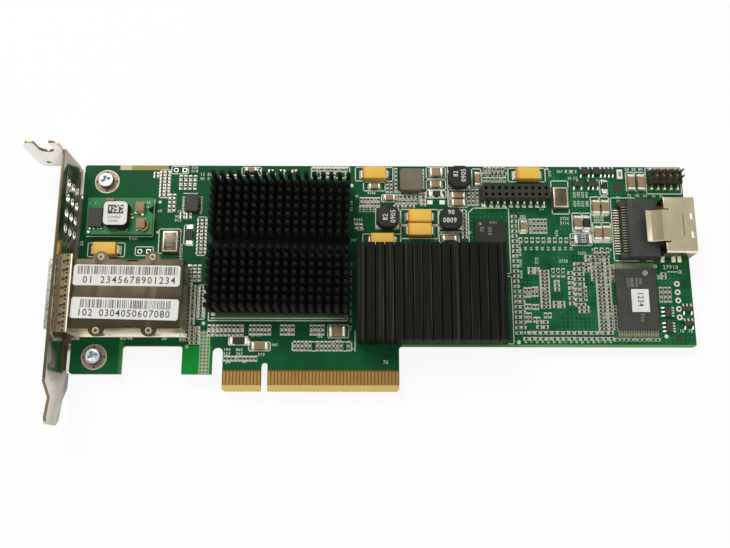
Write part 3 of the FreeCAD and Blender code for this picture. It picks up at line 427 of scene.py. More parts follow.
finishes = {
    "board_laminate": mask_finish(),
    "gold_plate": metal_finish("contact_gold", tone(152, 116, 64), tone(132, 98, 50), 0.34, 0.9,
                               (1.0, 0.25, 1.0)),
    "bracket_steel": bracket_finish(),
    "screw_steel": metal_finish("screw_zinc", tone(168, 176, 180), tone(112, 124, 130), 0.3, 0.5),
    "cage_metal": cage_finish(),
    "gasket_metal": gasket_finish(),
    "black_plastic": moulded_finish("port_plastic", tone(44, 45, 38), tone(62, 63, 56), 0.48),
    "label_paper": moulded_finish("label_paper", tone(232, 230, 224), tone(214, 212, 206), 0.62, 0.2,
                                  0.004),
    "shell_metal": shell_finish(),
    "tinned_metal": metal_finish("tin_plate", tone(222, 218, 206), tone(178, 174, 160), 0.3, 0.7),
    "package_laminate": moulded_finish("package_green", tone(58, 84, 44), tone(76, 104, 58), 0.42, 0.6),
    "lid_metal": metal_finish("lid_nickel", tone(170, 166, 156), tone(140, 136, 126), 0.4, 2.0),
    "thermal_pad": moulded_finish("thermal_pad", tone(150, 152, 156),
                                  tone(126, 128, 134), 0.7, 0.4, 0.03),
    "heatsink_black": pin_finish(),
    "chip_plastic": moulded_finish("chip_resin", tone(58, 58, 54), tone(78, 78, 73), 0.55, 0.25, 0.02),
    "module_laminate": moulded_finish("module_mask", tone(26, 116, 60), tone(44, 138, 82), 0.4, 1.2),
    "coil_ferrite": moulded_finish("coil_ferrite", tone(26, 26, 23), tone(44, 44, 40), 0.5, 0.3, 0.02),
    "capacitor_ceramic": moulded_finish("capacitor_ceramic", tone(150, 124, 92),
                                        tone(172, 146, 112), 0.5, 0.5),
    "tantalum_resin": tantalum_finish(),
    "resistor_ceramic": moulded_finish("resistor_ceramic", tone(40, 40, 38),
                                       tone(60, 60, 56), 0.4, 0.4),
    "bead_ferrite": moulded_finish("bead_ferrite", tone(96, 104, 108), tone(122, 130, 134), 0.5, 0.4),
    "shield_ferrite": moulded_finish("shield_ferrite", tone(112, 104, 86),
                                     tone(126, 118, 100), 0.5, 0.4),
    "oscillator_ceramic": moulded_finish("oscillator_ceramic", tone(72, 68, 58),
                                         tone(92, 86, 72), 0.5, 0.4),
}


def ink(name, colour, worn):
    """Printed ink, thin in places."""
    finish = Finish(name, colour, 0.6)
    finish.paint(worn, finish.clouds(0.5).ramp(0.4, 0.8))
    finish.set("Roughness", finish.clouds(0.3) * 0.2 + 0.5)
    return finish


bar_ink = ink("bar_ink", tone(104, 100, 98), tone(134, 130, 128))
dark_ink = ink("label_ink", tone(66, 63, 61), tone(96, 92, 90))
grey_ink = ink("grey_ink", tone(150, 150, 142), tone(122, 122, 116))
# Near black, used as painted shade over open holes and for the screw lands' filled vias
hole_dark = ink("hole_dark", tone(26, 24, 20), tone(44, 40, 32))
silk = ink("silkscreen_white", tone(222, 228, 212), tone(190, 203, 182))
fin_black = moulded_finish("fin_anodise", tone(16, 18, 12), tone(21, 23, 16), 0.5, 0.3, 0.01, 0.08)
# Painted highlights: thin pale streaks along the fins
highlight_streaks = fin_black.clouds(0.6, 1.0, (1.0, 0.01, 0.01))
fin_black.paint(tone(62, 64, 52), highlight_streaks.ramp(0.6, 0.7) * 0.7)
dull_tin = metal_finish("dull_tin", tone(186, 183, 170), tone(142, 138, 124), 0.4, 0.7)
rim_metal = metal_finish("rim_nickel", tone(166, 156, 138), tone(120, 111, 94), 0.45, 0.8)
land_metal = metal_finish("land_plate", tone(126, 110, 95), tone(106, 90, 76), 0.5, 1.2)
special_finishes = {
    "oscillator_lids": lid_finish(),
    "memory_chips": moulded_finish("memory_resin", tone(40, 41, 35),
                                   tone(53, 54, 47), 0.55, 0.25, 0.02),
    "disk_port_leads": metal_finish("lead_pink", tone(166, 152, 138), tone(118, 106, 94), 0.4, 0.6),
    "flash_leads": moulded_finish("lead_dull", tone(176, 164, 138), tone(140, 128, 102), 0.5, 0.3),
    "disk_port_housing": moulded_finish("housing_plastic", tone(58, 58, 56),
                                        tone(76, 76, 74), 0.5, 0.3),
}


# Objects and meshes

def placed(name, data):
    """A new object in the scene."""
    thing = bpy.data.objects.new(name, data)
    bpy.context.scene.collection.objects.link(thing)
    return thing


def finished(name, mesh, slot, *stood_for, finish=None, smooth=sharp_edge):
    """Makes a piece of the card from a mesh in millimetres and gives it its finish."""
    mesh.name = name
    mesh.transform(Matrix.Scale(MILLIMETRE, 4))
    mesh.materials.clear()
    mesh.materials.append((finish or finishes[slot]).material)
    mesh.shade_smooth()
    mesh.set_sharp_from_angle(angle=math.radians(smooth))
    thing = placed(name, mesh)
    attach(thing, "root")
    if stood_for:
        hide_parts(*stood_for)


def mesh_of(shape):
    mesh = bpy.data.meshes.new("shape")
    shape.to_mesh(mesh)
    shape.free()
    return mesh


def settled(thing):
    """Turns an object, with any modifiers, into a plain mesh and takes the object away."""
    bpy.context.view_layer.update()
    evaluated = thing.evaluated_get(bpy.context.evaluated_depsgraph_get())
    mesh = bpy.data.meshes.new_from_object(evaluated)
    bpy.data.objects.remove(thing)
    return mesh


def bevelled(mesh, width, segments=1):
    """The same mesh with its sharp edges rounded off."""
    thing = placed("bevelled", mesh)
    bevel = thing.modifiers.new("bevel", "BEVEL")
    bevel.width = width
    bevel.segments = segments
    bevel.limit_method = "ANGLE"
    bevel.angle_limit = math.radians(sharp_edge)
    return settled(thing)


def solid_of(node):
    """A copy of a node's solids in millimetres, with whole flat faces."""
    shape = merged(node)
    bmesh.ops.dissolve_limit(shape, angle_limit=math.radians(1), verts=shape.verts, edges=shape.edges)
    return mesh_of(shape)


def softened(node, slot, width, segments=1, finish=None):
    """A node's own solids with their edges rounded off, standing for the node."""
    finished(node + "_finished", bevelled(solid_of(node), width, segments), slot, node, finish=finish)


def joined(*meshes):
    """Several meshes as one."""
    shape = bmesh.new()
    for mesh in meshes:
        shape.from_mesh(mesh)
    return mesh_of(shape)


def moved(mesh, matrix):
    mesh.transform(matrix)
    return mesh


def turned_about(x, y, degrees, z=0.0):
    """The place of a piece that was made around the origin."""
    return Matrix.Translation((x, y, z)) @ Matrix.Rotation(math.radians(degrees), 4, "Z")


# The nodes as they are, with their finishes

for part in frame["record"]["subparts"]:
    thing = nodes[part["node"]]
    thing.data.materials.clear()
    thing.data.materials.append(finishes[part["material_slot"]].material)


# Geometry trees

class GeometryTree(Wiring):
    """A geometry tree as it is wired: its named inputs, its nodes and its result."""

    def __init__(self, name):
        super().__init__(bpy.data.node_groups.new(name, "GeometryNodeTree"))
        for way in ("INPUT", "OUTPUT"):
            self.tree.interface.new_socket("Geometry", in_out=way, socket_type="NodeSocketGeometry")
        self.inlet = self.tree.nodes.new("NodeGroupInput")
        self.outlet = self.tree.nodes.new("NodeGroupOutput")

    def entry(self, name, kind):
        self.tree.interface.new_socket(name, in_out="INPUT", socket_type="NodeSocket" + kind)
        return self.inlet.outputs[name]

    def node(self, kind, settings, *values, **named):
        return self.add(kind, settings, *values, **named).outputs[0]

    def attribute(self, name, kind):
        return self.node("GeometryNodeInputNamedAttribute", {"data_type": kind}, Name=name)

    def math(self, operation, first, second):
        return self.node("ShaderNodeMath", {"operation": operation}, first, second)

    def copies(self, points, **placing):
        """The shape that the tree is given, on every point, as whole geometry in its finish."""
        shape = self.add("GeometryNodeObjectInfo", {}, Object=self.entry("Shape", "Object"))
        instances = self.node("GeometryNodeInstanceOnPoints", {}, Points=points,
                              Instance=shape.outputs["Geometry"], **placing)
        whole = self.node("GeometryNodeRealizeInstances", {}, Geometry=instances)
        painted = self.node("GeometryNodeSetMaterial", {}, Geometry=whole,
                            Material=self.entry("Finish", "Material"))
        self.join(self.outlet.inputs[0], painted)
        return self.tree


def make_stamp_tree():
    """One shape on every mark, turned and sized as the mark says."""
    tree = GeometryTree("stamp")
    turn = tree.node("ShaderNodeCombineXYZ", {}, Z=tree.attribute("turn", "FLOAT"))
    return tree.copies(tree.inlet.outputs["Geometry"], Rotation=turn,
                       Scale=tree.attribute("size", "FLOAT_VECTOR"))


def make_field_tree():
    """One shape in columns and rows around the middle."""
    tree = GeometryTree("field")
    columns = tree.entry("Columns", "Int")
    rows = tree.entry("Rows", "Int")
    column_pitch = tree.entry("Column pitch", "Float")
    row_pitch = tree.entry("Row pitch", "Float")
    width = tree.math("MULTIPLY", tree.math("SUBTRACT", columns, 1.0), column_pitch)
    depth = tree.math("MULTIPLY", tree.math("SUBTRACT", rows, 1.0), row_pitch)
    grid = tree.node("GeometryNodeMeshGrid", {}, Size_X=width, Size_Y=depth, Vertices_X=columns,
                     Vertices_Y=rows)
    return tree.copies(grid)


stamp_tree = make_stamp_tree()
field_tree = make_field_tree()


def repeated(group, mesh, shape, finish, inputs=None):
    """Runs a tree that repeats a shape, its inputs given by name, and gives a plain mesh."""
    stencil = placed("stencil", shape)
    values = dict(inputs or {}, Shape=stencil, Finish=finish.material)
    thing = placed("repeated", mesh)
    modifier = thing.modifiers.new(group.name, "NODES")
    modifier.node_group = group
    for item in group.interface.items_tree:
        if item.in_out == "INPUT" and item.name in values:
            modifier[item.identifier] = values[item.name]
    result = settled(thing)
    bpy.data.objects.remove(stencil)
    return result


def field(shape, finish, columns, rows, pitch):
    """A shape in columns and rows that lie one pitch apart."""
    inputs = {"Columns": columns, "Rows": rows, "Column pitch": pitch, "Row pitch": pitch}
    return repeated(field_tree, bpy.data.meshes.new("field"), shape, finish, inputs)


def stamped(shape, marks, finish):
    """A shape on each mark: its place, its turn in degrees, and its size along three axes."""
    mesh = bpy.data.meshes.new("marks")
    mesh.from_pydata([place for place, turn, size in marks], [], [])
    turns = mesh.attributes.new("turn", "FLOAT", "POINT")
    turns.data.foreach_set("value", [math.radians(turn) for place, turn, size in marks])
    sizes = mesh.attributes.new("size", "FLOAT_VECTOR", "POINT")
    sizes.data.foreach_set("vector", [value for place, turn, size in marks for value in size])
    return repeated(stamp_tree, mesh, shape, finish)


# Plain shapes

def block(shape, low, high):
    middle = (Vector(low) + Vector(high)) / 2
    size = Vector(high) - Vector(low)
    place = Matrix.Translation(middle) @ Matrix.Diagonal((*size, 1))
    bmesh.ops.create_cube(shape, size=1.0, matrix=place)


def slab(shape, x, y, wide, tall, low, high):
    """A block around a place in plan, from one height to another."""
    block(shape, (x - wide / 2, y - tall / 2, low), (x + wide / 2, y + tall / 2, high))


def unit_block():
    shape = bmesh.new()
    slab(shape, 0, 0, 1, 1, 0, 1)
    return mesh_of(shape)


def plate(shape, outline, low, high):
    """A closed plate with that outline, from one height to another."""
    floor_face = shape.faces.new([shape.verts.new((x, y, low)) for x, y in outline])
    floor_face.normal_update()
    if floor_face.normal.z > 0:
        floor_face.normal_flip()
    raised = bmesh.ops.extrude_face_region(shape, geom=[floor_face], use_keep_orig=True)["geom"]
    for vertex in (item for item in raised if isinstance(item, bmesh.types.BMVert)):
        vertex.co.z = high
    bmesh.ops.recalc_face_normals(shape, faces=shape.faces)


def circle(x, y, radius, sides, turn=0.0):
    return [(x + radius * math.cos(turn + 2 * math.pi * step / sides),
             y + radius * math.sin(turn + 2 * math.pi * step / sides)) for step in range(sides)]


def disc(shape, x, y, radius, low, high, sides=16):
    plate(shape, circle(x, y, radius, sides), low, high)


def rounded_square(x, y, wide, tall, radius, steps=4):
    outline = []
    for corner, (side_x, side_y) in enumerate(((1, 1), (-1, 1), (-1, -1), (1, -1))):
        for step in range(steps + 1):
            angle = math.pi / 2 * (corner + step / steps)
            outline.append((x + side_x * (wide / 2 - radius) + radius * math.cos(angle),
                            y + side_y * (tall / 2 - radius) + radius * math.sin(angle)))
    return outline


def ring_of(shape, outline, height):
    return [shape.verts.new((x, y, height)) for x, y in outline]


def walled(shape, rims):
    """Walls from each ring of corners to the next."""
    for lower, upper in zip(rims, rims[1:]):
        for step in range(len(lower)):
            after = (step + 1) % len(lower)
            shape.faces.new((lower[step], lower[after], upper[after], upper[step]))


def closed(shape, rims):
    """A solid with walls from ring to ring, and its first and last ring filled."""
    walled(shape, rims)
    shape.faces.new(rims[0][::-1])
    shape.faces.new(rims[-1])


def washer(shape, x, y, outer, inner, low, high, sides=32):
    """A flat ring."""
    rims = [ring_of(shape, circle(x, y, radius, sides), height)
            for radius, height in ((outer, low), (outer, high), (inner, high), (inner, low))]
    walled(shape, rims + rims[:1])


def wire(shape, points, radius, sides=8):
    """A round wire along points at one height, with closed ends."""
    rims = []
    for index, (x, y, z) in enumerate(points):
        before, after = points[max(index - 1, 0)], points[min(index + 1, len(points) - 1)]
        forward = Vector((after[0] - before[0], after[1] - before[1], 0)).normalized()
        sideways = Vector((forward.y, -forward.x, 0))
        rims.append([shape.verts.new(Vector((x, y, z)) + sideways * a + Vector((0, 0, b)))
                     for a, b in circle(0, 0, radius, sides)])
    closed(shape, rims)
    bmesh.ops.recalc_face_normals(shape, faces=shape.faces)


# Print on the board: outlines, bars, dots and plain numbers

print_height = 0.02
line_width = 0.28

# Left, low, right and high sides of each plain outline
outlines = (
    (-30.0, 66.2, -24.9, 68.6), (-32.7, 41.0, -26.2, 48.6), (-39.5, 40.3, -34.2, 43.0),
    (-53.7, 39.9, -42.7, 44.2), (-25.2, 43.9, -22.6, 49.8), (-21.3, 40.4, -18.6, 52.4),
    (-20.2, 21.0, -18.0, 31.3), (-33.4, 58.5, -30.3, 67.5), (-10.6, 13.4, -4.8, 15.9),
    (-4.7, 11.7, 1.6, 14.3), (18.3, 15.6, 24.4, 19.4), (8.0, 11.7, 25.3, 14.4),
    (26.2, 64.1, 37.7, 68.5), (28.7, 60.9, 35.3, 63.7), (34.2, 57.4, 39.1, 59.7),
    (47.9, 64.9, 53.8, 68.5), (47.9, 61.4, 53.8, 64.5), (47.9, 58.7, 53.8, 61.1),
    (54.6, 58.5, 60.3, 61.3), (54.6, 55.7, 60.3, 58.3), (61.9, 62.0, 64.7, 68.1),
    (51.5, 44.5, 57.5, 47.2), (40.0, 50.2, 51.3, 55.0), (40.0, 45.8, 51.3, 49.8),
    (28.5, 42.7, 39.9, 47.2), (75.6, 47.6, 78.1, 52.1), (73.0, 64.0, 84.4, 68.4),
    (86.0, 53.7, 91.2, 64.3), (100.9, 59.8, 103.2, 64.6), (109.1, 60.9, 114.8, 67.2),
    (97.8, 53.4, 103.3, 59.2), (98.0, 44.7, 103.4, 51.0), (91.9, 48.0, 97.6, 54.0),
    (91.0, 43.8, 97.6, 47.5), (115.2, 60.2, 125.9, 68.6), (103.9, 39.1, 111.4, 58.9),
    (-8.5, 65.7, -2.6, 68.4), (12.7, 65.0, 24.5, 68.6), (32.4, 48.8, 39.4, 55.6),
    (51.6, 47.9, 58.9, 54.9),
)

# Two ends of each single line
lines = (
    (-34.6, 46.2, -34.6, 57.9), (-54.4, 46.2, -34.6, 46.2), (-25.9, 59.9, -21.8, 59.9),
    (-25.9, 54.1, -24.6, 54.1), (-23.0, 54.1, -21.7, 54.1), (23.9, 20.9, 23.9, 46.0),
    (23.2, 21.9, 23.2, 22.5), (-16.8, 20.9, -16.8, 24.6), (26.3, 11.7, 26.3, 17.6),
    (25.5, 12.3, 26.3, 12.3), (54.4, 56.6, 54.4, 68.6), (60.5, 45.0, 60.5, 54.0),
    (60.5, 54.0, 62.0, 55.5), (62.0, 55.5, 72.7, 55.5), (72.7, 55.5, 72.7, 35.1),
    (71.4, 35.1, 72.7, 35.1), (71.4, 34.2, 72.8, 34.2), (72.8, 34.2, 72.8, 13.9),
    (71.2, 13.9, 72.8, 13.9), (111.8, 60.9, 111.8, 67.2), (100.5, 53.4, 100.5, 59.2),
    (100.7, 44.7, 100.7, 51.0), (94.8, 48.0, 94.8, 54.0), (119.6, 35.7, 122.8, 35.7),
    (60.5, 61.9, 64.7, 61.9), (64.7, 56.0, 64.7, 62.0), (113.6, 39.1, 115.6, 39.1),
)

wide_lines = ((-16.8, 20.65, 23.9, 20.65), (-15.9, 21.35, 23.2, 21.35))
wide_line_width = 0.34

# Middle and radius of each dot, and the middle of each small ring
dots = (
    (-33.0, 57.1, 0.5), (-33.2, 47.6, 0.4), (-20.6, 53.8, 0.3), (-18.2, 19.8, 0.55), (25.1, 62.6, 0.55),
    (74.2, 14.4, 0.6), (117.6, 16.2, 0.6), (59.2, 54.9, 0.25), (112.4, 40.6, 0.25),
)
rings = (
    (123.2, 35.7, 0.55), (116.0, 37.4, 0.55), (-22.7, 12.9, 0.5), (26.7, 59.2, 0.45),
    (85.0, 68.2, 0.45),
)

# First corner of the processor
processor_corner = ((-16.0, 22.0), (-13.6, 22.0), (-16.0, 23.6))

# Rows of plain numbers: first place, columns, rows, steps, quarter turns, height and digits
number_rows = (
    (-24.0, 67.9, 1, 2, 1.0, -1.2, 0, 0.9, 3), (-21.2, 65.6, 2, 2, 2.2, -1.4, 0, 0.9, 2),
    (-30.6, 53.8, 2, 1, 3.0, 1.0, 0, 0.8, 3), (-33.6, 53.9, 1, 1, 1.0, 1.0, 0, 0.9, 2),
    (-28.3, 50.9, 1, 2, 1.0, 1.2, 0, 0.9, 3), (-41.8, 45.1, 1, 1, 1.0, 1.0, 0, 1.2, 3),
    (-55.2, 43.2, 1, 1, 1.0, 1.0, 1, 1.0, 2), (-42.3, 14.9, 1, 1, 1.0, 1.0, 0, 1.2, 4),
    (-30.2, 14.9, 1, 1, 1.0, 1.0, 0, 1.0, 2), (-25.4, 35.4, 1, 4, 1.0, 2.2, 1, 0.9, 3),
    (-12.0, 11.6, 2, 2, 3.6, -1.3, 0, 0.9, 3), (-11.4, 8.0, 1, 1, 1.0, 1.0, 0, 1.0, 2),
    (-5.4, 8.0, 1, 1, 1.0, 1.0, 1, 0.9, 2), (-2.0, 10.2, 1, 1, 1.0, 1.0, 0, 0.9, 3),
    (2.0, 13.1, 1, 1, 1.0, 1.0, 0, 0.8, 3), (-4.0, 15.9, 1, 1, 1.0, 1.0, 0, 0.8, 5),
    (15.0, 15.6, 1, 1, 1.0, 1.0, 0, 0.8, 3), (20.4, 14.7, 1, 1, 1.0, 1.0, 0, 0.8, 3),
    (34.4, 7.9, 1, 1, 1.0, 1.0, 0, 1.1, 2), (25.4, 17.6, 1, 9, 1.0, 2.4, 1, 0.7, 3),
    (25.4, 54.4, 1, 2, 1.0, 1.9, 1, 0.9, 2), (28.0, 54.0, 5, 1, 1.05, 1.0, 1, 0.8, 3),
    (25.7, 51.3, 1, 2, 1.0, -1.2, 0, 0.9, 4), (26.8, 48.3, 1, 1, 1.0, 1.0, 0, 0.9, 3),
    (24.9, 44.9, 1, 1, 1.0, 1.0, 0, 0.8, 3), (29.9, 59.8, 1, 1, 1.0, 1.0, 0, 0.8, 4),
    (38.6, 60.1, 3, 1, 2.3, 1.0, 0, 0.8, 3), (46.2, 56.8, 1, 3, 1.0, 2.4, 1, 0.8, 3),
    (54.2, 47.3, 1, 1, 1.0, 1.0, 0, 0.7, 4), (59.4, 49.0, 1, 3, 1.0, 2.2, 1, 0.8, 3),
    (61.4, 56.4, 3, 2, 1.1, 2.6, 1, 0.8, 3), (66.0, 65.2, 4, 1, 1.7, 1.0, 0, 0.8, 2),
    (66.2, 68.0, 3, 1, 2.4, 1.0, 0, 0.7, 3), (76.0, 52.5, 1, 1, 1.0, 1.0, 0, 0.8, 3),
    (76.0, 42.2, 10, 1, 1.72, 1.0, 1, 0.8, 2), (76.1, 33.6, 1, 4, 1.0, 3.4, 1, 0.8, 4),
    (80.0, 38.1, 1, 2, 1.0, 1.1, 0, 0.8, 2), (87.2, 38.5, 1, 1, 1.0, 1.0, 0, 0.9, 4),
    (86.3, 65.6, 1, 1, 1.0, 1.0, 1, 0.9, 3), (88.0, 66.9, 1, 1, 1.0, 1.0, 0, 0.8, 3),
    (88.2, 50.4, 1, 2, 1.0, 1.4, 0, 0.9, 4), (82.1, 54.8, 1, 1, 1.0, 1.0, 0, 1.0, 2),
    (87.4, 46.6, 1, 1, 1.0, 1.0, 1, 0.9, 3), (92.8, 41.0, 1, 1, 1.0, 1.0, 0, 0.9, 4),
    (93.4, 56.0, 4, 1, 1.25, 1.0, 1, 0.85, 3), (93.4, 58.9, 4, 1, 1.25, 1.0, 1, 0.85, 3),
    (98.4, 51.4, 1, 2, 1.0, 1.0, 0, 0.8, 5), (97.2, 42.1, 3, 1, 2.4, 1.0, 0, 0.8, 2),
    (108.9, 67.7, 3, 1, 2.1, 1.0, 0, 0.9, 2), (109.1, 59.2, 3, 1, 2.4, 1.0, 0, 0.9, 2),
    (118.2, 36.6, 1, 1, 1.0, 1.0, 0, 1.2, 5), (117.2, 33.4, 1, 1, 1.0, 1.0, 1, 0.9, 2),
    (103.4, 62.6, 1, 1, 1.0, 1.0, 1, 0.8, 2), (76.6, 14.1, 16, 1, 1.66, 1.0, 1, 0.75, 2),
    (105.7, 57.4, 1, 2, 1.0, 1.3, 0, 0.8, 2), (121.6, 17.4, 2, 1, 2.6, 1.0, 0, 0.9, 2),
    (60.0, 47.4, 1, 1, 1.0, 1.0, 0, 0.8, 2), (41.0, 55.4, 1, 1, 1.0, 1.0, 0, 0.6, 3),
    (116.7, 59.1, 2, 1, 2.2, 1.0, 0, 0.8, 2), (91.2, 64.8, 2, 1, 1.8, 1.0, 0, 0.8, 2),
)


def glyphs():
    """A flat mesh of each digit, one millimetre tall."""
    found = {}
    for digit in "0123456789":
        curve = bpy.data.curves.new("digit", "FONT")
        curve.body = digit
        curve.resolution_u = 2
        curve.offset = 0.008
        curve.extrude = print_height / 2
        mesh = settled(placed("digit", curve))
        tall = max(vertex.co.y for vertex in mesh.vertices)
        found[digit] = moved(mesh, Matrix.Scale(1 / tall, 4))
    return found


digit_shapes = glyphs()
digit_advance = 0.78


def number(shape, digits, x, y, z, height, turn=0.0, stretch=1.0):
    """Writes plain digits from that corner, turned by that many degrees."""
    size = Matrix.Diagonal((height * stretch, height, 1, 1))
    for index, digit in enumerate(digits):
        step = Matrix.Translation((index * digit_advance, 0, print_height / 2))
        mesh = moved(digit_shapes[digit].copy(), turned_about(x, y, turn, z) @ size @ step)
        shape.from_mesh(mesh)
        bpy.data.meshes.remove(mesh)


def line_mark(x0, y0, x1, y1, width=line_width):
    """A unit block stretched into a printed line."""
    length = math.hypot(x1 - x0, y1 - y0) + width
    turn = math.degrees(math.atan2(y1 - y0, x1 - x0))
    return ((x0 + x1) / 2, (y0 + y1) / 2, 0.0), turn, (length, width, print_height)


def board_print():
    marks = [line_mark(*line) for line in lines]
    marks += [line_mark(*line, wide_line_width) for line in wide_lines]
    for left, low, right, high in outlines:
        for side in ((left, low, right, low), (left, high, right, high),
                     (left, low, left, high), (right, low, right, high)):
            marks.append(line_mark(*side))
    shape = bmesh.new()
    shape.from_mesh(stamped(unit_block(), marks, silk))
    for x, y, radius in dots:
        disc(shape, x, y, radius, 0, print_height)
    for x, y, radius in rings:
        washer(shape, x, y, radius, radius * 0.5, 0, print_height, 16)
    plate(shape, processor_corner, 0, print_height)
    chance = random.Random(7)
    for x, y, columns, rows, step_x, step_y, quarter, height, digits in number_rows:
        for column in range(columns):
            for row in range(rows):
                text = "".join(chance.choice("0123456789") for _ in range(digits))
                number(shape, text, x + column * step_x, y + row * step_y, 0, height, quarter * 90)
    finished("board_print", mesh_of(shape), "label_paper", finish=silk)


board_print()


# Rows of the smallest chip parts: first place, columns, rows, steps, and True where they lie along Y
tiny_rows = (
    (-32.6, 59.3, 2, 8, 1.45, 1.05, False), (-34.6, 65.3, 1, 2, 1.0, 1.0, False),
    (-30.0, 55.0, 2, 4, 1.3, 1.3, True), (-27.0, 61.9, 4, 3, 1.45, 1.5, True),
    (-26.0, 52.3, 2, 2, 1.9, 1.1, False), (-20.6, 41.2, 2, 10, 1.35, 1.12, False),
    (-24.1, 34.6, 4, 2, 1.35, 2.1, True), (-24.1, 15.0, 2, 17, 1.35, 1.1, False),
    (-19.1, 21.9, 1, 9, 1.0, 1.06, False), (-21.3, 14.0, 2, 5, 1.4, 1.1, False),
    (-16.4, 16.8, 9, 2, 1.2, 1.8, True), (-4.3, 17.1, 6, 2, 1.1, 1.5, True),
    (4.8, 17.1, 4, 2, 1.1, 1.5, True), (13.5, 17.1, 4, 2, 1.1, 1.5, True),
    (8.7, 12.4, 5, 2, 1.1, 1.4, True), (15.4, 12.4, 7, 2, 1.15, 1.4, True),
    (24.4, 12.4, 1, 2, 1.0, 1.4, True), (-11.4, 9.4, 9, 1, 1.1, 1.0, True),
    (-3.3, 67.2, 4, 1, 3.6, 1.0, False), (13.5, 67.6, 10, 1, 1.1, 1.0, True),
    (46.9, 56.6, 1, 4, 1.0, 1.15, False), (38.6, 55.9, 5, 1, 1.2, 1.0, False),
    (26.6, 49.6, 2, 1, 1.4, 1.0, True), (14.0, 65.8, 6, 1, 1.9, 1.0, True),
    (-6.4, 65.6, 5, 1, 2.6, 1.0, True), (36.0, 61.0, 2, 3, 1.2, 1.2, True),
    (38.6, 61.2, 1, 6, 1.0, 1.25, True), (28.0, 58.0, 6, 1, 1.05, 1.0, True),
    (28.0, 56.6, 6, 1, 1.05, 1.0, True), (38.8, 57.4, 6, 2, 1.15, 1.5, True),
    (46.4, 62.0, 1, 6, 1.0, 1.1, False), (60.8, 57.0, 3, 4, 1.25, 1.25, True),
    (59.2, 46.3, 1, 8, 1.0, 1.15, False), (65.6, 64.6, 6, 1, 1.25, 1.0, True),
    (65.6, 66.6, 6, 1, 1.25, 1.0, False), (66.0, 67.9, 5, 1, 1.35, 1.0, True),
    (74.2, 17.2, 1, 24, 1.0, 1.55, False), (75.7, 17.2, 1, 9, 1.0, 1.55, False),
    (79.2, 48.3, 5, 3, 1.12, 1.5, True), (76.0, 45.4, 10, 1, 1.72, 1.0, True),
    (82.0, 24.9, 2, 11, 1.25, 1.08, False), (78.6, 35.4, 2, 2, 1.9, 1.1, False),
    (85.3, 34.8, 3, 2, 1.5, 1.1, True), (76.7, 28.6, 2, 2, 1.1, 1.4, True),
    (79.0, 28.8, 2, 2, 1.1, 1.4, True), (76.7, 25.0, 2, 1, 1.1, 1.4, True),
    (79.0, 24.9, 2, 1, 1.1, 1.4, True), (76.7, 21.1, 2, 2, 1.1, 1.3, True),
    (79.2, 21.1, 2, 1, 1.1, 1.3, True), (80.4, 18.9, 2, 2, 1.9, 1.5, False),
    (82.4, 22.4, 2, 1, 1.3, 1.0, True), (85.6, 25.1, 2, 2, 1.9, 1.1, False),
    (90.4, 26.0, 1, 7, 1.0, 1.55, False), (92.2, 25.6, 2, 9, 1.5, 1.55, False),
    (95.2, 36.0, 1, 2, 1.0, 1.1, False), (93.1, 23.6, 2, 2, 1.5, 1.2, False),
    (94.6, 27.6, 1, 3, 1.0, 1.4, True), (98.7, 18.3, 2, 21, 1.25, 1.1, False),
    (101.5, 18.3, 1, 21, 1.0, 1.1, False), (102.9, 18.3, 1, 7, 1.0, 1.1, False),
    (102.9, 33.0, 1, 5, 1.0, 1.1, False), (76.4, 17.2, 16, 1, 1.66, 1.0, False),
    (76.4, 15.4, 16, 1, 1.66, 1.0, False), (103.0, 15.2, 10, 1, 1.32, 1.0, False),
    (117.0, 27.2, 3, 3, 1.3, 1.5, True), (91.4, 67.3, 2, 1, 1.8, 1.0, False),
    (118.2, 33.9, 1, 2, 1.0, 1.1, False), (-21.6, 19.8, 1, 11, 1.0, 1.1, False),
    (-22.6, 33.2, 3, 1, 1.3, 1.0, True), (97.4, 33.4, 1, 6, 1.0, 1.15, False),
    (98.6, 42.3, 3, 1, 1.7, 1.0, True), (98.2, 40.9, 4, 1, 1.3, 1.0, True),
    (93.0, 37.4, 3, 1, 1.5, 1.0, True), (95.8, 39.2, 2, 2, 1.5, 1.1, False),
    (86.2, 30.2, 1, 3, 1.0, 1.2, False), (41.2, 58.9, 4, 1, 1.3, 1.0, False),
    (-14.6, 63.8, 3, 2, 2.0, 1.4, True),
)
tiny_length = 1.15
tiny_width = 0.6
tiny_thickness = 0.35
tiny_end = 0.22
tiny_body_share = 0.94
tiny_frame_size = (1.72, 1.02, print_height)
tiny_twist = 2.5
capacitor_share = 0.16
pad_overhang = 0.1
pad_margin = 0.1
pad_thickness = 0.05


def tiny_places():
    """Middle, turn and kind of every smallest part. The kind is a number from 0 to 1."""
    chance = random.Random(11)
    places = []
    for x, y, columns, rows, step_x, step_y, upright in tiny_rows:
        for column in range(columns):
            for row in range(rows):
                turn = (90 if upright else 0) + chance.uniform(-tiny_twist, tiny_twist)
                places.append((x + column * step_x, y + row * step_y, turn, chance.random()))
    return places


def tiny_frame():
    """The printed line around one of the smallest parts, one unit long and wide."""
    shape = bmesh.new()
    line_x, line_y = 0.08, 0.13
    for side in (-1, 1):
        slab(shape, 0, side * (0.5 - line_y / 2), 1, line_y, 0, 1)
        slab(shape, side * (0.5 - line_x / 2), 0, line_x, 1 - 2 * line_y, 0, 1)
    return mesh_of(shape)


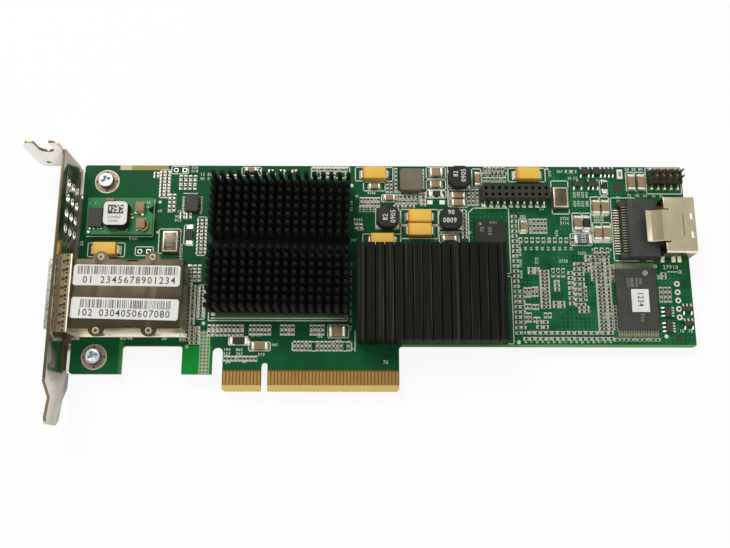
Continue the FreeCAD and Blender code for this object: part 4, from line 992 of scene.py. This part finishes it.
def tiny_parts():
    body_size = (tiny_length - 2 * tiny_end, tiny_width, tiny_thickness * tiny_body_share)
    end_size = (tiny_end, tiny_width, tiny_thickness)
    pad_size = (tiny_end + 2 * pad_overhang, tiny_width + pad_margin, pad_thickness)
    frames, resistors, capacitors, ends, solder = [], [], [], [], []
    for x, y, turn, kind in tiny_places():
        along = Vector((math.cos(math.radians(turn)), math.sin(math.radians(turn)), 0))
        middle = Vector((x, y, 0))
        raised = Vector((0, 0, pad_thickness))
        frames.append((middle, turn, tiny_frame_size))
        chosen = capacitors if kind < capacitor_share else resistors
        chosen.append((middle + raised, turn, body_size))
        for side in (-1, 1):
            reach = along * side / 2
            ends.append((middle + raised + reach * (tiny_length - tiny_end), turn, end_size))
            solder.append((middle + reach * tiny_length, turn, pad_size))
    finished("tiny_outlines", stamped(tiny_frame(), frames, silk), "label_paper", finish=silk)
    for name, marks, slot, finish in (
            ("tiny_resistors", resistors, "resistor_ceramic", finishes["resistor_ceramic"]),
            ("tiny_capacitors", capacitors, "capacitor_ceramic", finishes["capacitor_ceramic"]),
            ("tiny_ends", ends, "tinned_metal", dull_tin),
            ("tiny_solder", solder, "tinned_metal", dull_tin)):
        finished(name, stamped(unit_block(), marks, finish), slot, finish=finish)


tiny_parts()


# Heatsinks

def heatsink_pin(width, height, bevel=0.14):
    shape = bmesh.new()
    slab(shape, 0, 0, width, width, 0, height)
    edges = [edge for edge in shape.edges if max(vertex.co.z for vertex in edge.verts) > height / 2]
    bmesh.ops.bevel(shape, geom=edges, offset=bevel, segments=1, affect="EDGES", clamp_overlap=True)
    return mesh_of(shape)


def rounded_slab(x, y, wide, tall, low, high, bevel):
    """A block with its edges rounded off."""
    shape = bmesh.new()
    slab(shape, x, y, wide, tall, low, high)
    return bevelled(mesh_of(shape), bevel)


def pin_heatsink():
    """A square base with a field of pins, and a channel for the clip where one row is left out."""
    middle_x, middle_y, turn = 4.22, 42.4, -0.9
    pitch, width, across, channel_row = 2.46, 1.2, 17, 8
    base_low, base_high, top = 2.75, 4.55, 12.35
    side = (across - 1) * pitch + width
    pieces = [rounded_slab(0, 0, side, side, base_low, base_high, 0.15)]
    for rows, first in ((channel_row, 0), (across - channel_row - 1, channel_row + 1)):
        pin = heatsink_pin(width, top - base_high)
        pins = field(pin, finishes["heatsink_black"], across, rows, pitch)
        middle = (first + (rows - 1) / 2 - (across - 1) / 2) * pitch
        pieces.append(moved(pins, Matrix.Translation((0, middle, base_high))))
    mesh = moved(joined(*pieces), turned_about(middle_x, middle_y, turn))
    finished("processor_heatsink_finished", mesh, "heatsink_black", "processor_heatsink")


def fin_heatsink():
    """A base with upright fins that run across the card."""
    low, high = span("memory_heatsink")
    count, pitch, thickness, base_height = 16, 2.7, 2.45, 5.8
    base_top = low.z + base_height
    middle = (low + high) / 2
    wide, tall = high.x - low.x, high.y - low.y
    base = rounded_slab(middle.x, middle.y, wide, tall, low.z, base_top, 0.12)
    fin = rounded_slab(0, 0, thickness, tall, 0, high.z - base_top, 0.06)
    fins = field(fin, finishes["heatsink_black"], count, 1, pitch)
    place = Matrix.Translation((middle.x, middle.y, base_top))
    finished("memory_heatsink_finished", joined(base, moved(fins, place)), "heatsink_black",
             "memory_heatsink", finish=fin_black)


pin_heatsink()
fin_heatsink()


# Solids that keep their shape and get rounded edges

# Node, slot, and the width and steps of its rounding
rounded_nodes = (
    ("bracket", "bracket_steel", 0.1, 2), ("port_cage", "cage_metal", 0.22, 2),
    ("port_rivets", "cage_metal", 0.1, 2), ("port_receptacle", "black_plastic", 0.1, 1),
    ("port_labels", "label_paper", 0.03, 1), ("disk_port_housing", "black_plastic", 0.14, 2),
    ("disk_port_shell", "shell_metal", 0.11, 2), ("disk_port_leads", "tinned_metal", 0.04, 1),
    ("processor", "package_laminate", 0.08, 1), ("processor_lid", "lid_metal", 0.15, 2),
    ("memory_chips", "chip_plastic", 0.1, 1), ("flash_chip", "chip_plastic", 0.1, 1),
    ("flash_label", "label_paper", 0.03, 1), ("regulator_board", "module_laminate", 0.06, 1),
    ("regulator_coil", "coil_ferrite", 0.2, 2), ("regulator_chip", "chip_plastic", 0.1, 1),
    ("regulator_capacitors", "capacitor_ceramic", 0.14, 2),
    ("tantalum_capacitors", "tantalum_resin", 0.16, 2),
    ("tantalum_terminals", "tinned_metal", 0.06, 1),
    ("ceramic_capacitors", "capacitor_ceramic", 0.1, 2),
    ("ceramic_terminals", "tinned_metal", 0.14, 2), ("chip_resistors", "resistor_ceramic", 0.06, 1),
    ("resistor_terminals", "tinned_metal", 0.08, 1), ("ferrite_bead", "bead_ferrite", 0.12, 2),
    ("ferrite_terminals", "tinned_metal", 0.12, 2), ("power_coils", "coil_ferrite", 0.28, 2),
    ("power_coil_feet", "tinned_metal", 0.08, 1), ("shielded_coil", "shield_ferrite", 0.2, 2),
    ("oscillator_bases", "oscillator_ceramic", 0.08, 1),
    ("oscillator_lids", "shell_metal", 0.12, 2), ("clock_chip", "chip_plastic", 0.1, 1),
    ("clock_leads", "tinned_metal", 0.03, 1), ("flash_leads", "tinned_metal", 0.03, 1),
    ("socket_header", "black_plastic", 0.08, 1), ("pin_header", "black_plastic", 0.12, 1),
    ("pin_header_pins", "gold_plate", 0.07, 1), ("small_chips", "chip_plastic", 0.08, 1),
)
for node, slot, width, segments in rounded_nodes:
    softened(node, slot, width, segments, finish=special_finishes.get(node))


def module_label():
    """The paper square with round corners that covers the module's coil."""
    low, high = span("regulator_label")
    wide, tall, corner = 7.0, 7.2, 1.3
    shape = bmesh.new()
    outline = rounded_square((low.x + high.x) / 2, (low.y + high.y) / 2, wide, tall, corner)
    plate(shape, outline, low.z, high.z)
    finished("regulator_label_finished", mesh_of(shape), "label_paper", "regulator_label")


module_label()


# Print on the labels and on the parts

port_label_prints = (
    # left, low edge and tilt; where the bars start and end; the number and its place
    (-54.1, 28.75, -0.75, 1.3, 29.6, 3.3, 5.7, "01 2345678901234", 2.8, 0.75),
    (-54.1, 19.1, -1.4, 2.6, 28.4, 3.1, 5.5, "102 0304050607080", 1.9, 0.75),
)
port_label_size = (30.5, 6.1)
port_digit_height = 2.0
port_digit_stretch = 0.95
bar_widths = (0.14, 0.14, 0.28, 0.42)
bar_gaps = (0.16, 0.16, 0.3, 0.44)


def label_print():
    """Grey bars over a row of plain digits on both labels of the external port."""
    chance = random.Random(23)
    length, tall = port_label_size
    top = span("port_labels")[1].z
    all_bars, all_digits = bmesh.new(), bmesh.new()
    for left, low, tilt, start, end, bar_low, bar_high, text, text_x, text_y in port_label_prints:
        place = (turned_about(left + length / 2, low + tall / 2, tilt, top)
                 @ Matrix.Translation((-length / 2, -tall / 2, 0)))
        bars, digits = bmesh.new(), bmesh.new()
        x = start
        while x < end:
            width = chance.choice(bar_widths)
            block(bars, (x, bar_low, 0), (min(x + width, end), bar_high, print_height))
            x += width + chance.choice(bar_gaps)
        for index, digit in enumerate(text):
            if digit != " ":
                x = text_x + index * (end - text_x) / len(text)
                number(digits, digit, x, text_y, 0, port_digit_height, stretch=port_digit_stretch)
        for whole, own in ((all_bars, bars), (all_digits, digits)):
            whole.from_mesh(moved(mesh_of(own), place))
    finished("label_bars", mesh_of(all_bars), "label_paper", finish=bar_ink)
    finished("label_digits", mesh_of(all_digits), "label_paper", finish=dark_ink)


label_print()

# Numbers on parts, by ink and part: digits, first corner, height, turn and stretch
part_digits = (
    ("white", "power_coils", (
        ("82", 35.9, 50.4, 1.5, 90, 0.9), ("0905", 38.2, 49.6, 1.5, 90, 0.9),
        ("90", 53.9, 52.3, 1.5, 0, 0.9), ("0809", 52.4, 49.8, 1.5, 0, 0.9),
        ("82", 57.2, 64.2, 1.4, 90, 0.9), ("0905", 59.6, 62.6, 1.5, 90, 0.9))),
    ("white", "ferrite_bead", (("22", 93.9, 45.9, 1.0, 0, 1.0), ("22", 93.9, 44.4, 1.0, 0, 1.0))),
    ("grey", "flash_chip", (
        ("7777", 106.6, 33.6, 0.9, -90, 1.0), ("8888", 107.85, 33.6, 0.9, -90, 1.0),
        ("9999", 109.1, 33.6, 0.9, -90, 1.0), ("406", 110.35, 33.6, 0.9, -90, 1.0),
        ("710", 110.1, 22.9, 1.1, -90, 1.0))),
    ("grey", "memory_chips", (
        ("0461", 66.6, 50.2, 0.8, 0, 1.0), ("75", 64.9, 47.6, 1.1, 90, 1.0),
        ("520", 67.2, 46.6, 1.1, 90, 1.0))),
    ("grey", "oscillator_lids", (
        ("52", -29.9, 46.2, 1.5, -90, 1.0), ("80", -27.9, 46.2, 1.5, -90, 1.0),
        ("51", -29.9, 43.8, 1.5, -90, 1.0))),
    ("dark", "flash_label", (("1234", 109.7, 29.3, 1.7, -90, 0.85),)),
    ("dark", "regulator_label", (
        ("1234567", -47.0, 50.2, 0.75, 0, 1.0), ("012345", -46.6, 49.1, 0.6, 0, 1.0))),
)
# The part, middle, radius and sides of each moulded dot
part_dots = (("flash_chip", 112.4, 35.1, 0.85, 20), ("memory_chips", 63.8, 50.2, 0.45, 16))


def part_numbers():
    """Plain digits on coils, chips and labels, moulded dots, and uneven squares on one label."""
    inks = {"white": bmesh.new(), "grey": bmesh.new(), "dark": bmesh.new()}
    for colour, node, numbers in part_digits:
        top = span(node)[1].z
        for digits, x, y, height, turn, stretch in numbers:
            number(inks[colour], digits, x, y, top, height, turn, stretch)
    for node, x, y, radius, sides in part_dots:
        top = span(node)[1].z
        disc(inks["grey"], x, y, radius, top, top + print_height, sides)
    chance = random.Random(5)
    columns, rows, left, low, cell, filled_share = 10, 6, -46.9, 51.6, 0.46, 0.6
    top = span("regulator_label")[1].z
    for column in range(columns):
        for row in range(rows):
            if chance.random() < filled_share or column == 0 or row == 0:
                x, y = left + column * cell, low + row * cell
                block(inks["dark"], (x, y, top), (x + cell, y + cell, top + print_height))
    finished("part_numbers", mesh_of(inks["white"]), "label_paper", finish=silk)
    finished("moulded_numbers", mesh_of(inks["grey"]), "chip_plastic", finish=grey_ink)
    finished("sticker_numbers", mesh_of(inks["dark"]), "label_paper", finish=dark_ink)


part_numbers()


# Plated lands and solder

screw_x = -49.45
screw_places = ((screw_x, 9.8), (screw_x, 63.6))
hole_places = [(122.0, 21.9 + 2.53 * index) for index in range(5)]
# Two-pin headers that are left open: the first land is round and the second square
open_headers = ((-27.3, 67.4), (-36.85, 41.6))
open_pitch = 1.3
# Middle, width and length of each bright pad
bright_pads = (
    (48.9, 57.3, 1.6, 1.3), (52.6, 57.3, 1.6, 1.3), (118.3, 39.2, 1.1, 1.2), (121.6, 39.2, 1.2, 1.1),
    (123.4, 39.2, 1.2, 1.1),
)
# Radii of lands and holes, the width of the square land, and how high the plating stands
screw_land, screw_rim, screw_rim_inside, screw_hole = 3.65, 3.72, 3.5, 1.7
hole_land, hole_mouth = 0.85, 0.42
open_land, open_mouth = 0.68, 0.56
square_land, square_mouth = 1.28, 0.52
screw_land_height, land_height, pad_height, mouth_height = 0.03, 0.04, 0.05, 0.02
via_ring, via_radius, via_turn, via_top = 2.95, 0.32, 2, 0.06


def screw_heads():
    """The screws' own solids, their heads' flat tops widened to a low pan with a round rim."""
    head_low, top_inside, top_outside, widened = 1.6, 1.55, 1.8, 2.12
    shape = bmesh.new()
    shape.from_mesh(solid_of("bracket_screws"))
    for corner in shape.verts:
        middle = min((Vector(place) for place in screw_places),
                     key=lambda place: abs(place.y - corner.co.y))
        reach = corner.co.xy - middle
        if corner.co.z > head_low and top_inside < reach.length < top_outside:
            corner.co.xy = middle + reach.normalized() * widened
    mesh = bevelled(mesh_of(shape), 0.26, 3)
    finished("bracket_screws_finished", mesh, "screw_steel", "bracket_screws")


def screw_lands():
    """Bare plating around the screws."""
    shape = bmesh.new()
    for x, y in screw_places:
        washer(shape, x, y, screw_land, screw_hole, 0, screw_land_height, 48)
    finished("screw_lands", mesh_of(shape), "tinned_metal", finish=land_metal)


def hole_lands():
    """Rings and pads of bare plating around the open holes, and dark discs in them as painted shade."""
    plated, mouths = bmesh.new(), bmesh.new()
    for x, y in hole_places:
        washer(plated, x, y, hole_land, hole_mouth, 0, land_height, 24)
        disc(mouths, x, y, hole_mouth, 0, mouth_height)
    for x, y in open_headers:
        washer(plated, x - open_pitch, y, open_land, open_mouth, 0, land_height, 24)
        slab(plated, x + open_pitch, y, square_land, square_land, 0, land_height)
        disc(mouths, x - open_pitch, y, open_mouth, 0, mouth_height)
        disc(mouths, x + open_pitch, y, square_mouth, land_height, pad_height)
    for x, y, wide, tall in bright_pads:
        slab(plated, x, y, wide, tall, 0, pad_height)
    finished("hole_lands", mesh_of(plated), "tinned_metal")
    finished("hole_mouths", mesh_of(mouths), "black_plastic", finish=hole_dark)


def land_details():
    """The screw lands' brighter outer rims, and four filled vias in each."""
    rims, vias = bmesh.new(), bmesh.new()
    for x, y in screw_places:
        washer(rims, x, y, screw_rim, screw_rim_inside, 0, pad_height, 48)
        for via_x, via_y in circle(x, y, via_ring, 4, math.radians(via_turn)):
            disc(vias, via_x, via_y, via_radius, screw_land_height, via_top, 12)
    finished("land_rims", mesh_of(rims), "tinned_metal", finish=rim_metal)
    finished("land_vias", mesh_of(vias), "black_plastic", finish=hole_dark)


def fillet(shape, low, high, reach):
    """A low skirt of solder around a terminal, sloping down to the board."""
    rise = (high.z - low.z) * 0.55
    spread = 0.18
    snug = 0.02
    rims = []
    for along, across, height in ((reach, spread, 0.0), (reach * 0.4, spread * 0.5, rise * 0.35),
                                  (snug, snug, rise)):
        if high.x - low.x > high.y - low.y:
            along, across = across, along
        left, right = low.x - along, high.x + along
        near, far = low.y - across, high.y + across
        rims.append(ring_of(shape, ((left, near), (right, near), (right, far), (left, far)), height))
    closed(shape, rims)


def solder_fillets():
    """A sloping fillet of solder at both ends of every chip part that stands in its own node."""
    shape = bmesh.new()
    lowest_on_board = 0.3
    for node, reach in (("ceramic_terminals", 0.5), ("resistor_terminals", 0.5),
                        ("ferrite_terminals", 0.45), ("tantalum_terminals", 0.55)):
        for low, high in solids_of(node):
            if low.z < lowest_on_board:
                fillet(shape, low, high, reach)
    finished("solder_fillets", mesh_of(shape), "tinned_metal", smooth=70)


def lead_shape():
    """A short gull-wing lead, one unit long, wide and tall, running along +X."""
    side = ((0.0, 0.55), (0.35, 0.5), (0.6, 0.16), (1.0, 0.12), (1.0, 0.0), (0.5, 0.0),
            (0.25, 0.36), (0.0, 0.4))
    shape = bmesh.new()
    closed(shape, [[shape.verts.new((x, y, z)) for x, z in side] for y in (-0.5, 0.5)])
    bmesh.ops.recalc_face_normals(shape, faces=shape.faces)
    return mesh_of(shape)


# Small moulded chips: middle, length, width, whether upright, and leads on each long side
small_chip_leads = (
    (96.5, 67.1, 3.0, 1.6, False, 2, 2), (100.2, 67.1, 3.0, 1.6, False, 2, 2),
    (103.9, 67.1, 3.0, 1.6, False, 3, 3), (94.1, 63.1, 2.9, 1.6, False, 2, 1),
    (98.8, 63.1, 3.4, 1.6, False, 3, 2), (118.5, 23.5, 3.0, 1.9, True, 4, 3),
    (118.5, 18.9, 3.0, 1.9, True, 4, 3), (124.4, 24.3, 2.9, 1.5, False, 2, 3),
    (124.4, 19.9, 2.9, 1.5, False, 2, 3),
)
small_lead_size = (0.95, 0.42, 0.9)
small_lead_margin = 0.3


def small_leads():
    marks = []
    for x, y, length, width, upright, low_count, high_count in small_chip_leads:
        for side, count in ((-1, low_count), (1, high_count)):
            pitch = (length - 2 * small_lead_margin) / max(count - 1, 1)
            for index in range(count):
                along = (index - (count - 1) / 2) * pitch
                out = side * width / 2
                if upright:
                    place, turn = (x - out, y + along), (0 if side < 0 else 180)
                else:
                    place, turn = (x + along, y + out), (90 if side > 0 else -90)
                marks.append(((*place, 0.0), turn, small_lead_size))
    mesh = stamped(lead_shape(), marks, finishes["tinned_metal"])
    finished("small_leads", mesh, "tinned_metal", smooth=50)


# The regulator module's small parts, as they stand on its board

module_z = 2.6
# Middle, width, length and height of each spot of solder and each piece of copper on the module
module_solder = (
    (-52.75, 47.9, 0.4, 0.4, 0.3), (-51.55, 47.9, 0.4, 0.4, 0.3), (-50.35, 47.9, 0.4, 0.4, 0.3),
    (-49.3, 47.9, 0.4, 0.4, 0.3), (-52.6, 54.05, 0.4, 0.3, 0.3), (-50.9, 54.05, 0.4, 0.3, 0.3),
)
module_copper = (
    (-41.0, 52.3, 1.5, 0.45, 0.4), (-40.6, 51.2, 1.2, 0.5, 0.4), (-38.9, 52.8, 1.5, 0.4, 0.4),
    (-37.3, 52.2, 0.7, 0.5, 0.4), (-41.2, 50.3, 0.6, 0.8, 0.4),
)
# First corner, height and digits of each number on the module
module_numbers = (
    (-44.3, 47.0, 0.7, "34018"), (-36.4, 55.6, 0.8, "33"), (-36.4, 54.4, 0.6, "04"),
    (-53.6, 55.6, 0.6, "1"), (-51.9, 55.6, 0.6, "7"),
)


def module_slabs(shape, places):
    """Blocks that stand on the module's board."""
    for x, y, wide, tall, height in places:
        slab(shape, x, y, wide, tall, module_z, module_z + height)


def module_joints():
    """Solder at the chip's leads and under the capacitors' ends."""
    side_margin, joint_length, joint_height, dot_height = 0.15, 0.56, 0.5, 0.06
    solder = bmesh.new()
    module_slabs(solder, module_solder)
    disc(solder, -53.2, 46.9, 0.32, module_z, module_z + dot_height, 12)
    for low, high in solids_of("regulator_capacitors"):
        middle, wide = (low.x + high.x) / 2, high.x - low.x - 2 * side_margin
        module_slabs(solder, [(middle, y, wide, joint_length, joint_height) for y in (low.y, high.y)])
    finished("module_solder", mesh_of(solder), "tinned_metal")


def module_wire():
    """A bent copper wire beside the lower capacitor, and copper at the other side's chip parts."""
    middle_x, middle_y, reach_x, reach_y = -37.2, 48.9, 1.7, 1.8
    lift, wire_radius = 0.55, 0.27
    copper = bmesh.new()
    turns = [math.radians(angle) for angle in range(0, 181, 15)]
    arc = [(middle_x + reach_x * math.sin(turn), middle_y + reach_y * math.cos(turn), module_z + lift)
           for turn in turns]
    wire(copper, arc, wire_radius)
    module_slabs(copper, module_copper)
    finished("module_copper", mesh_of(copper), "gold_plate", finish=copper_metal)


def module_passives():
    """A row of small tan parts along the module's lower edge, and one longer part."""
    count, first_x, pitch, row_y, uneven = 11, -52.6, 1.5, 46.75, 0.1
    tan = bmesh.new()
    module_slabs(tan, ((-47.15, 56.875, 2.5, 0.85, 0.7),))
    chance = random.Random(3)
    for index in range(count):
        y = row_y + chance.uniform(-uneven, uneven)
        module_slabs(tan, ((first_x + index * pitch, y, 0.4, 0.3, 0.25),))
    finished("module_passives", mesh_of(tan), "capacitor_ceramic")


def module_print():
    text = bmesh.new()
    for x, y, height, digits in module_numbers:
        number(text, digits, x, y, module_z, height)
    finished("module_numbers", mesh_of(text), "label_paper", finish=silk)


# Single details

def top_marker():
    """The white block near the top edge, with a brown window."""
    marker_top, window_top = 0.6, 0.68
    marker = rounded_slab(107.15, 66.35, 1.7, 3.1, 0, marker_top, 0.08)
    finished("marker_block", marker, "label_paper")
    shape = bmesh.new()
    slab(shape, 107.175, 66.35, 0.65, 1.5, marker_top, window_top)
    finished("marker_window", mesh_of(shape), "capacitor_ceramic")


def hole_shade_and_mark():
    """A dark disc inside the tooling hole as painted shade, and the round mark at the lower corner."""
    shade_low, shade_top = -1.5, -0.06
    shade_disc, mark = bmesh.new(), bmesh.new()
    disc(shade_disc, 106.3, 62.2, 1.47, shade_low, shade_top, 40)
    disc(mark, 121.7, 15.5, 0.95, 0, print_height, 24)
    finished("tooling_plug", mesh_of(shade_disc), "black_plastic", finish=plug_brown)
    finished("tooling_mark", mesh_of(mark), "black_plastic", finish=plug_brown)


def header_solder():
    """Bright solder where the pin header's feet meet the board."""
    lower_end, lower_foot, upper_end, upper_foot = 62.5, 61.75, 67.6, 68.2
    half = Vector((0.3, 0.35, 0))
    foot_height = Vector((0, 0, 0.9))
    shape = bmesh.new()
    for low, high in solids_of("pin_header_pins"):
        for reaches_out, y in ((low.y < lower_end, lower_foot), (high.y > upper_end, upper_foot)):
            if reaches_out:
                foot = Vector(((low.x + high.x) / 2, y, 0))
                fillet(shape, foot - half, foot + half + foot_height, 0.25)
    finished("header_solder", mesh_of(shape), "tinned_metal", smooth=70)


def lead_ends(node, middle_y, inward, outward, height):
    """The box of solder around the outer end of each of a node's leads."""
    for low, high in solids_of(node):
        side = -1 if low.y < middle_y else 1
        tip = low.y if side < 0 else high.y
        near, far = sorted((tip - side * inward, tip + side * outward))
        yield Vector((low.x, near, 0)), Vector((high.x, far, height))


def lead_solder():
    """Solder on the lands under the flash chip's and the socket's leads."""
    dull, bright = bmesh.new(), bmesh.new()
    for low, high in lead_ends("flash_leads", 27, 0.2, 1.0, 0.12):
        block(dull, low, high)
    for low, high in lead_ends("socket_leads", 59, 0.9, 0.1, 0.8):
        fillet(bright, low, high, 0.35)
    finished("flash_solder", mesh_of(dull), "tinned_metal", finish=special_finishes["flash_leads"])
    finished("socket_solder", mesh_of(bright), "tinned_metal", smooth=70)


def ear_rims():
    """A bright ring on top of each rivet of the cage's ears, a painted highlight on its rim."""
    outer, inner, height = 0.86, 0.56, 0.06
    shape = bmesh.new()
    for low, high in solids_of("port_rivets"):
        x, y = (low.x + high.x) / 2, (low.y + high.y) / 2
        washer(shape, x, y, outer, inner, high.z, high.z + height, 24)
    finished("ear_rims", mesh_of(shape), "cage_metal", finish=rim_metal)


def cage_foot():
    """The cage's bright foot beside the bracket's lower corner."""
    height = 0.5
    shape = bmesh.new()
    block(shape, (-56.3, 14.75, 0), (-54.0, 15.7, height))
    block(shape, (-55.1, 15.7, 0), (-54.0, 17.3, height))
    finished("cage_foot", mesh_of(shape), "tinned_metal")


# Columns and rows of the other joints on the back: the module's pins and the cage's
module_joint_columns, module_joint_rows = (-52.85, -48.5, -44.1, -39.8, -35.45), (46.6, 57.1)
cage_joint_columns, cage_joint_rows = (-53.0, -47.0, -41.0, -35.0, -29.0, -24.0), (15.6, 37.6)


def back_solder():
    """Solder on the back, where pins come through the board."""
    joint = bmesh.new()
    closed(joint, [ring_of(joint, circle(0, 0, radius, 10), height)
                   for radius, height in ((0.85, 0.0), (0.55, -0.22), (0.3, -0.6))])
    bmesh.ops.recalc_face_normals(joint, faces=joint.faces)
    back = span("circuit_board")[0].z
    header_low, header_high = 63.7, 66.3
    places = [((low.x + high.x) / 2, min(max((low.y + high.y) / 2, header_low), header_high))
              for low, high in solids_of("pin_header_pins")]
    for columns, rows in ((module_joint_columns, module_joint_rows),
                          (cage_joint_columns, cage_joint_rows)):
        places += [(x, y) for x in columns for y in rows]
    places += hole_places
    marks = [((x, y, back), 0, (1, 1, 1)) for x, y in places]
    mesh = stamped(mesh_of(joint), marks, finishes["tinned_metal"])
    finished("back_solder", mesh, "tinned_metal", smooth=60)


copper_metal = metal_finish("module_copper", tone(206, 164, 104), tone(150, 104, 60), 0.3, 0.6)
# Dark brown for the painted shade inside the tooling hole and for the printed round mark
plug_brown = moulded_finish("plug_brown", tone(58, 56, 44), tone(74, 72, 58), 0.5, 0.4)
screw_heads()
screw_lands()
hole_lands()
land_details()
solder_fillets()
small_leads()
module_joints()
module_wire()
module_passives()
module_print()
top_marker()
hole_shade_and_mark()
header_solder()
lead_solder()
ear_rims()
cage_foot()
back_solder()


# Studio: a white floor and world, soft lamps, and the camera

def studio_white(name, brightness, camera_lift):
    """White that the camera sees as white, and that the card's shadow still falls on."""
    material = bpy.data.materials.new(name)
    material.use_nodes = True
    wiring = Wiring(material.node_tree)
    shader = wiring.tree.nodes["Principled BSDF"]
    shader.inputs["Base Color"].default_value = (brightness, brightness, brightness, 1)
    shader.inputs["Roughness"].default_value = 0.9
    shader.inputs["Specular IOR Level"].default_value = 0.0
    glow = wiring.add("ShaderNodeEmission", {})
    path = wiring.add("ShaderNodeLightPath", {})
    share = wiring.add("ShaderNodeMath", {"operation": "MULTIPLY"}, path.outputs["Is Camera Ray"],
                       camera_lift)
    mix = wiring.add("ShaderNodeMixShader", {}, share.outputs[0], shader.outputs[0], glow.outputs[0])
    wiring.join(wiring.tree.nodes["Material Output"].inputs["Surface"], mix.outputs[0])
    return material


floor_size = 4.0
floor_gap = 0.0002
floor_middle = Vector((0.03, 0.03, cad_box[0][2] - floor_gap))
floor_shape = bmesh.new()
bmesh.ops.create_grid(floor_shape, x_segments=1, y_segments=1, size=floor_size / 2)
floor_mesh = moved(mesh_of(floor_shape), Matrix.Translation(floor_middle))
floor_mesh.materials.append(studio_white("floor_white", 0.96, 0.9))
floor = placed("floor", floor_mesh)

ambient = 0.42
world = bpy.data.worlds.new("studio")
bpy.context.scene.world = world
world.use_nodes = True
sky = Wiring(world.node_tree)
background = sky.tree.nodes["Background"]
background.inputs["Color"].default_value = (1, 1, 1, 1)
rays = sky.add("ShaderNodeLightPath", {})
seen = rays.outputs["Is Camera Ray"]
for name in ("Is Glossy Ray", "Is Transmission Ray"):
    seen = sky.add("ShaderNodeMath", {"operation": "MAXIMUM"}, seen, rays.outputs[name]).outputs[0]
level = sky.add("ShaderNodeMix", {}, Factor=seen, A=ambient, B=1.0)
sky.join(background.inputs["Strength"], level.outputs["Result"])


def soft_lamp(name, place, target, size, power):
    lamp = bpy.data.lights.new(name, "AREA")
    lamp.shape = "RECTANGLE"
    lamp.size, lamp.size_y = size
    lamp.energy = power
    thing = placed(name, lamp)
    thing.location = place
    thing.rotation_euler = (Vector(target) - Vector(place)).to_track_quat("-Z", "Y").to_euler()


card_middle = (0.035, 0.035, 0.0)
soft_lamp("key_lamp", (-0.25, 0.45, 0.62), card_middle, (0.4, 0.4), 3.6)
soft_lamp("fill_lamp", (0.5, -0.25, 0.6), card_middle, (0.6, 0.4), 1.2)

# The photograph's camera, looking down on the component side from just below the fingers
camera_place = (27.55, -25.39, 247.56)
camera_turn = (13.667, -0.391, 0.0547)
camera_lens = 42.205
camera_data = bpy.data.cameras.new("camera")
camera_data.lens = camera_lens
camera_data.sensor_width = 36.0
camera_data.clip_start = 0.001
camera = placed("camera", camera_data)
camera.location = [value * MILLIMETRE for value in camera_place]
camera.rotation_euler = [math.radians(value) for value in camera_turn]
bpy.context.scene.camera = camera
bpy.context.scene.view_settings.view_transform = "Standard"
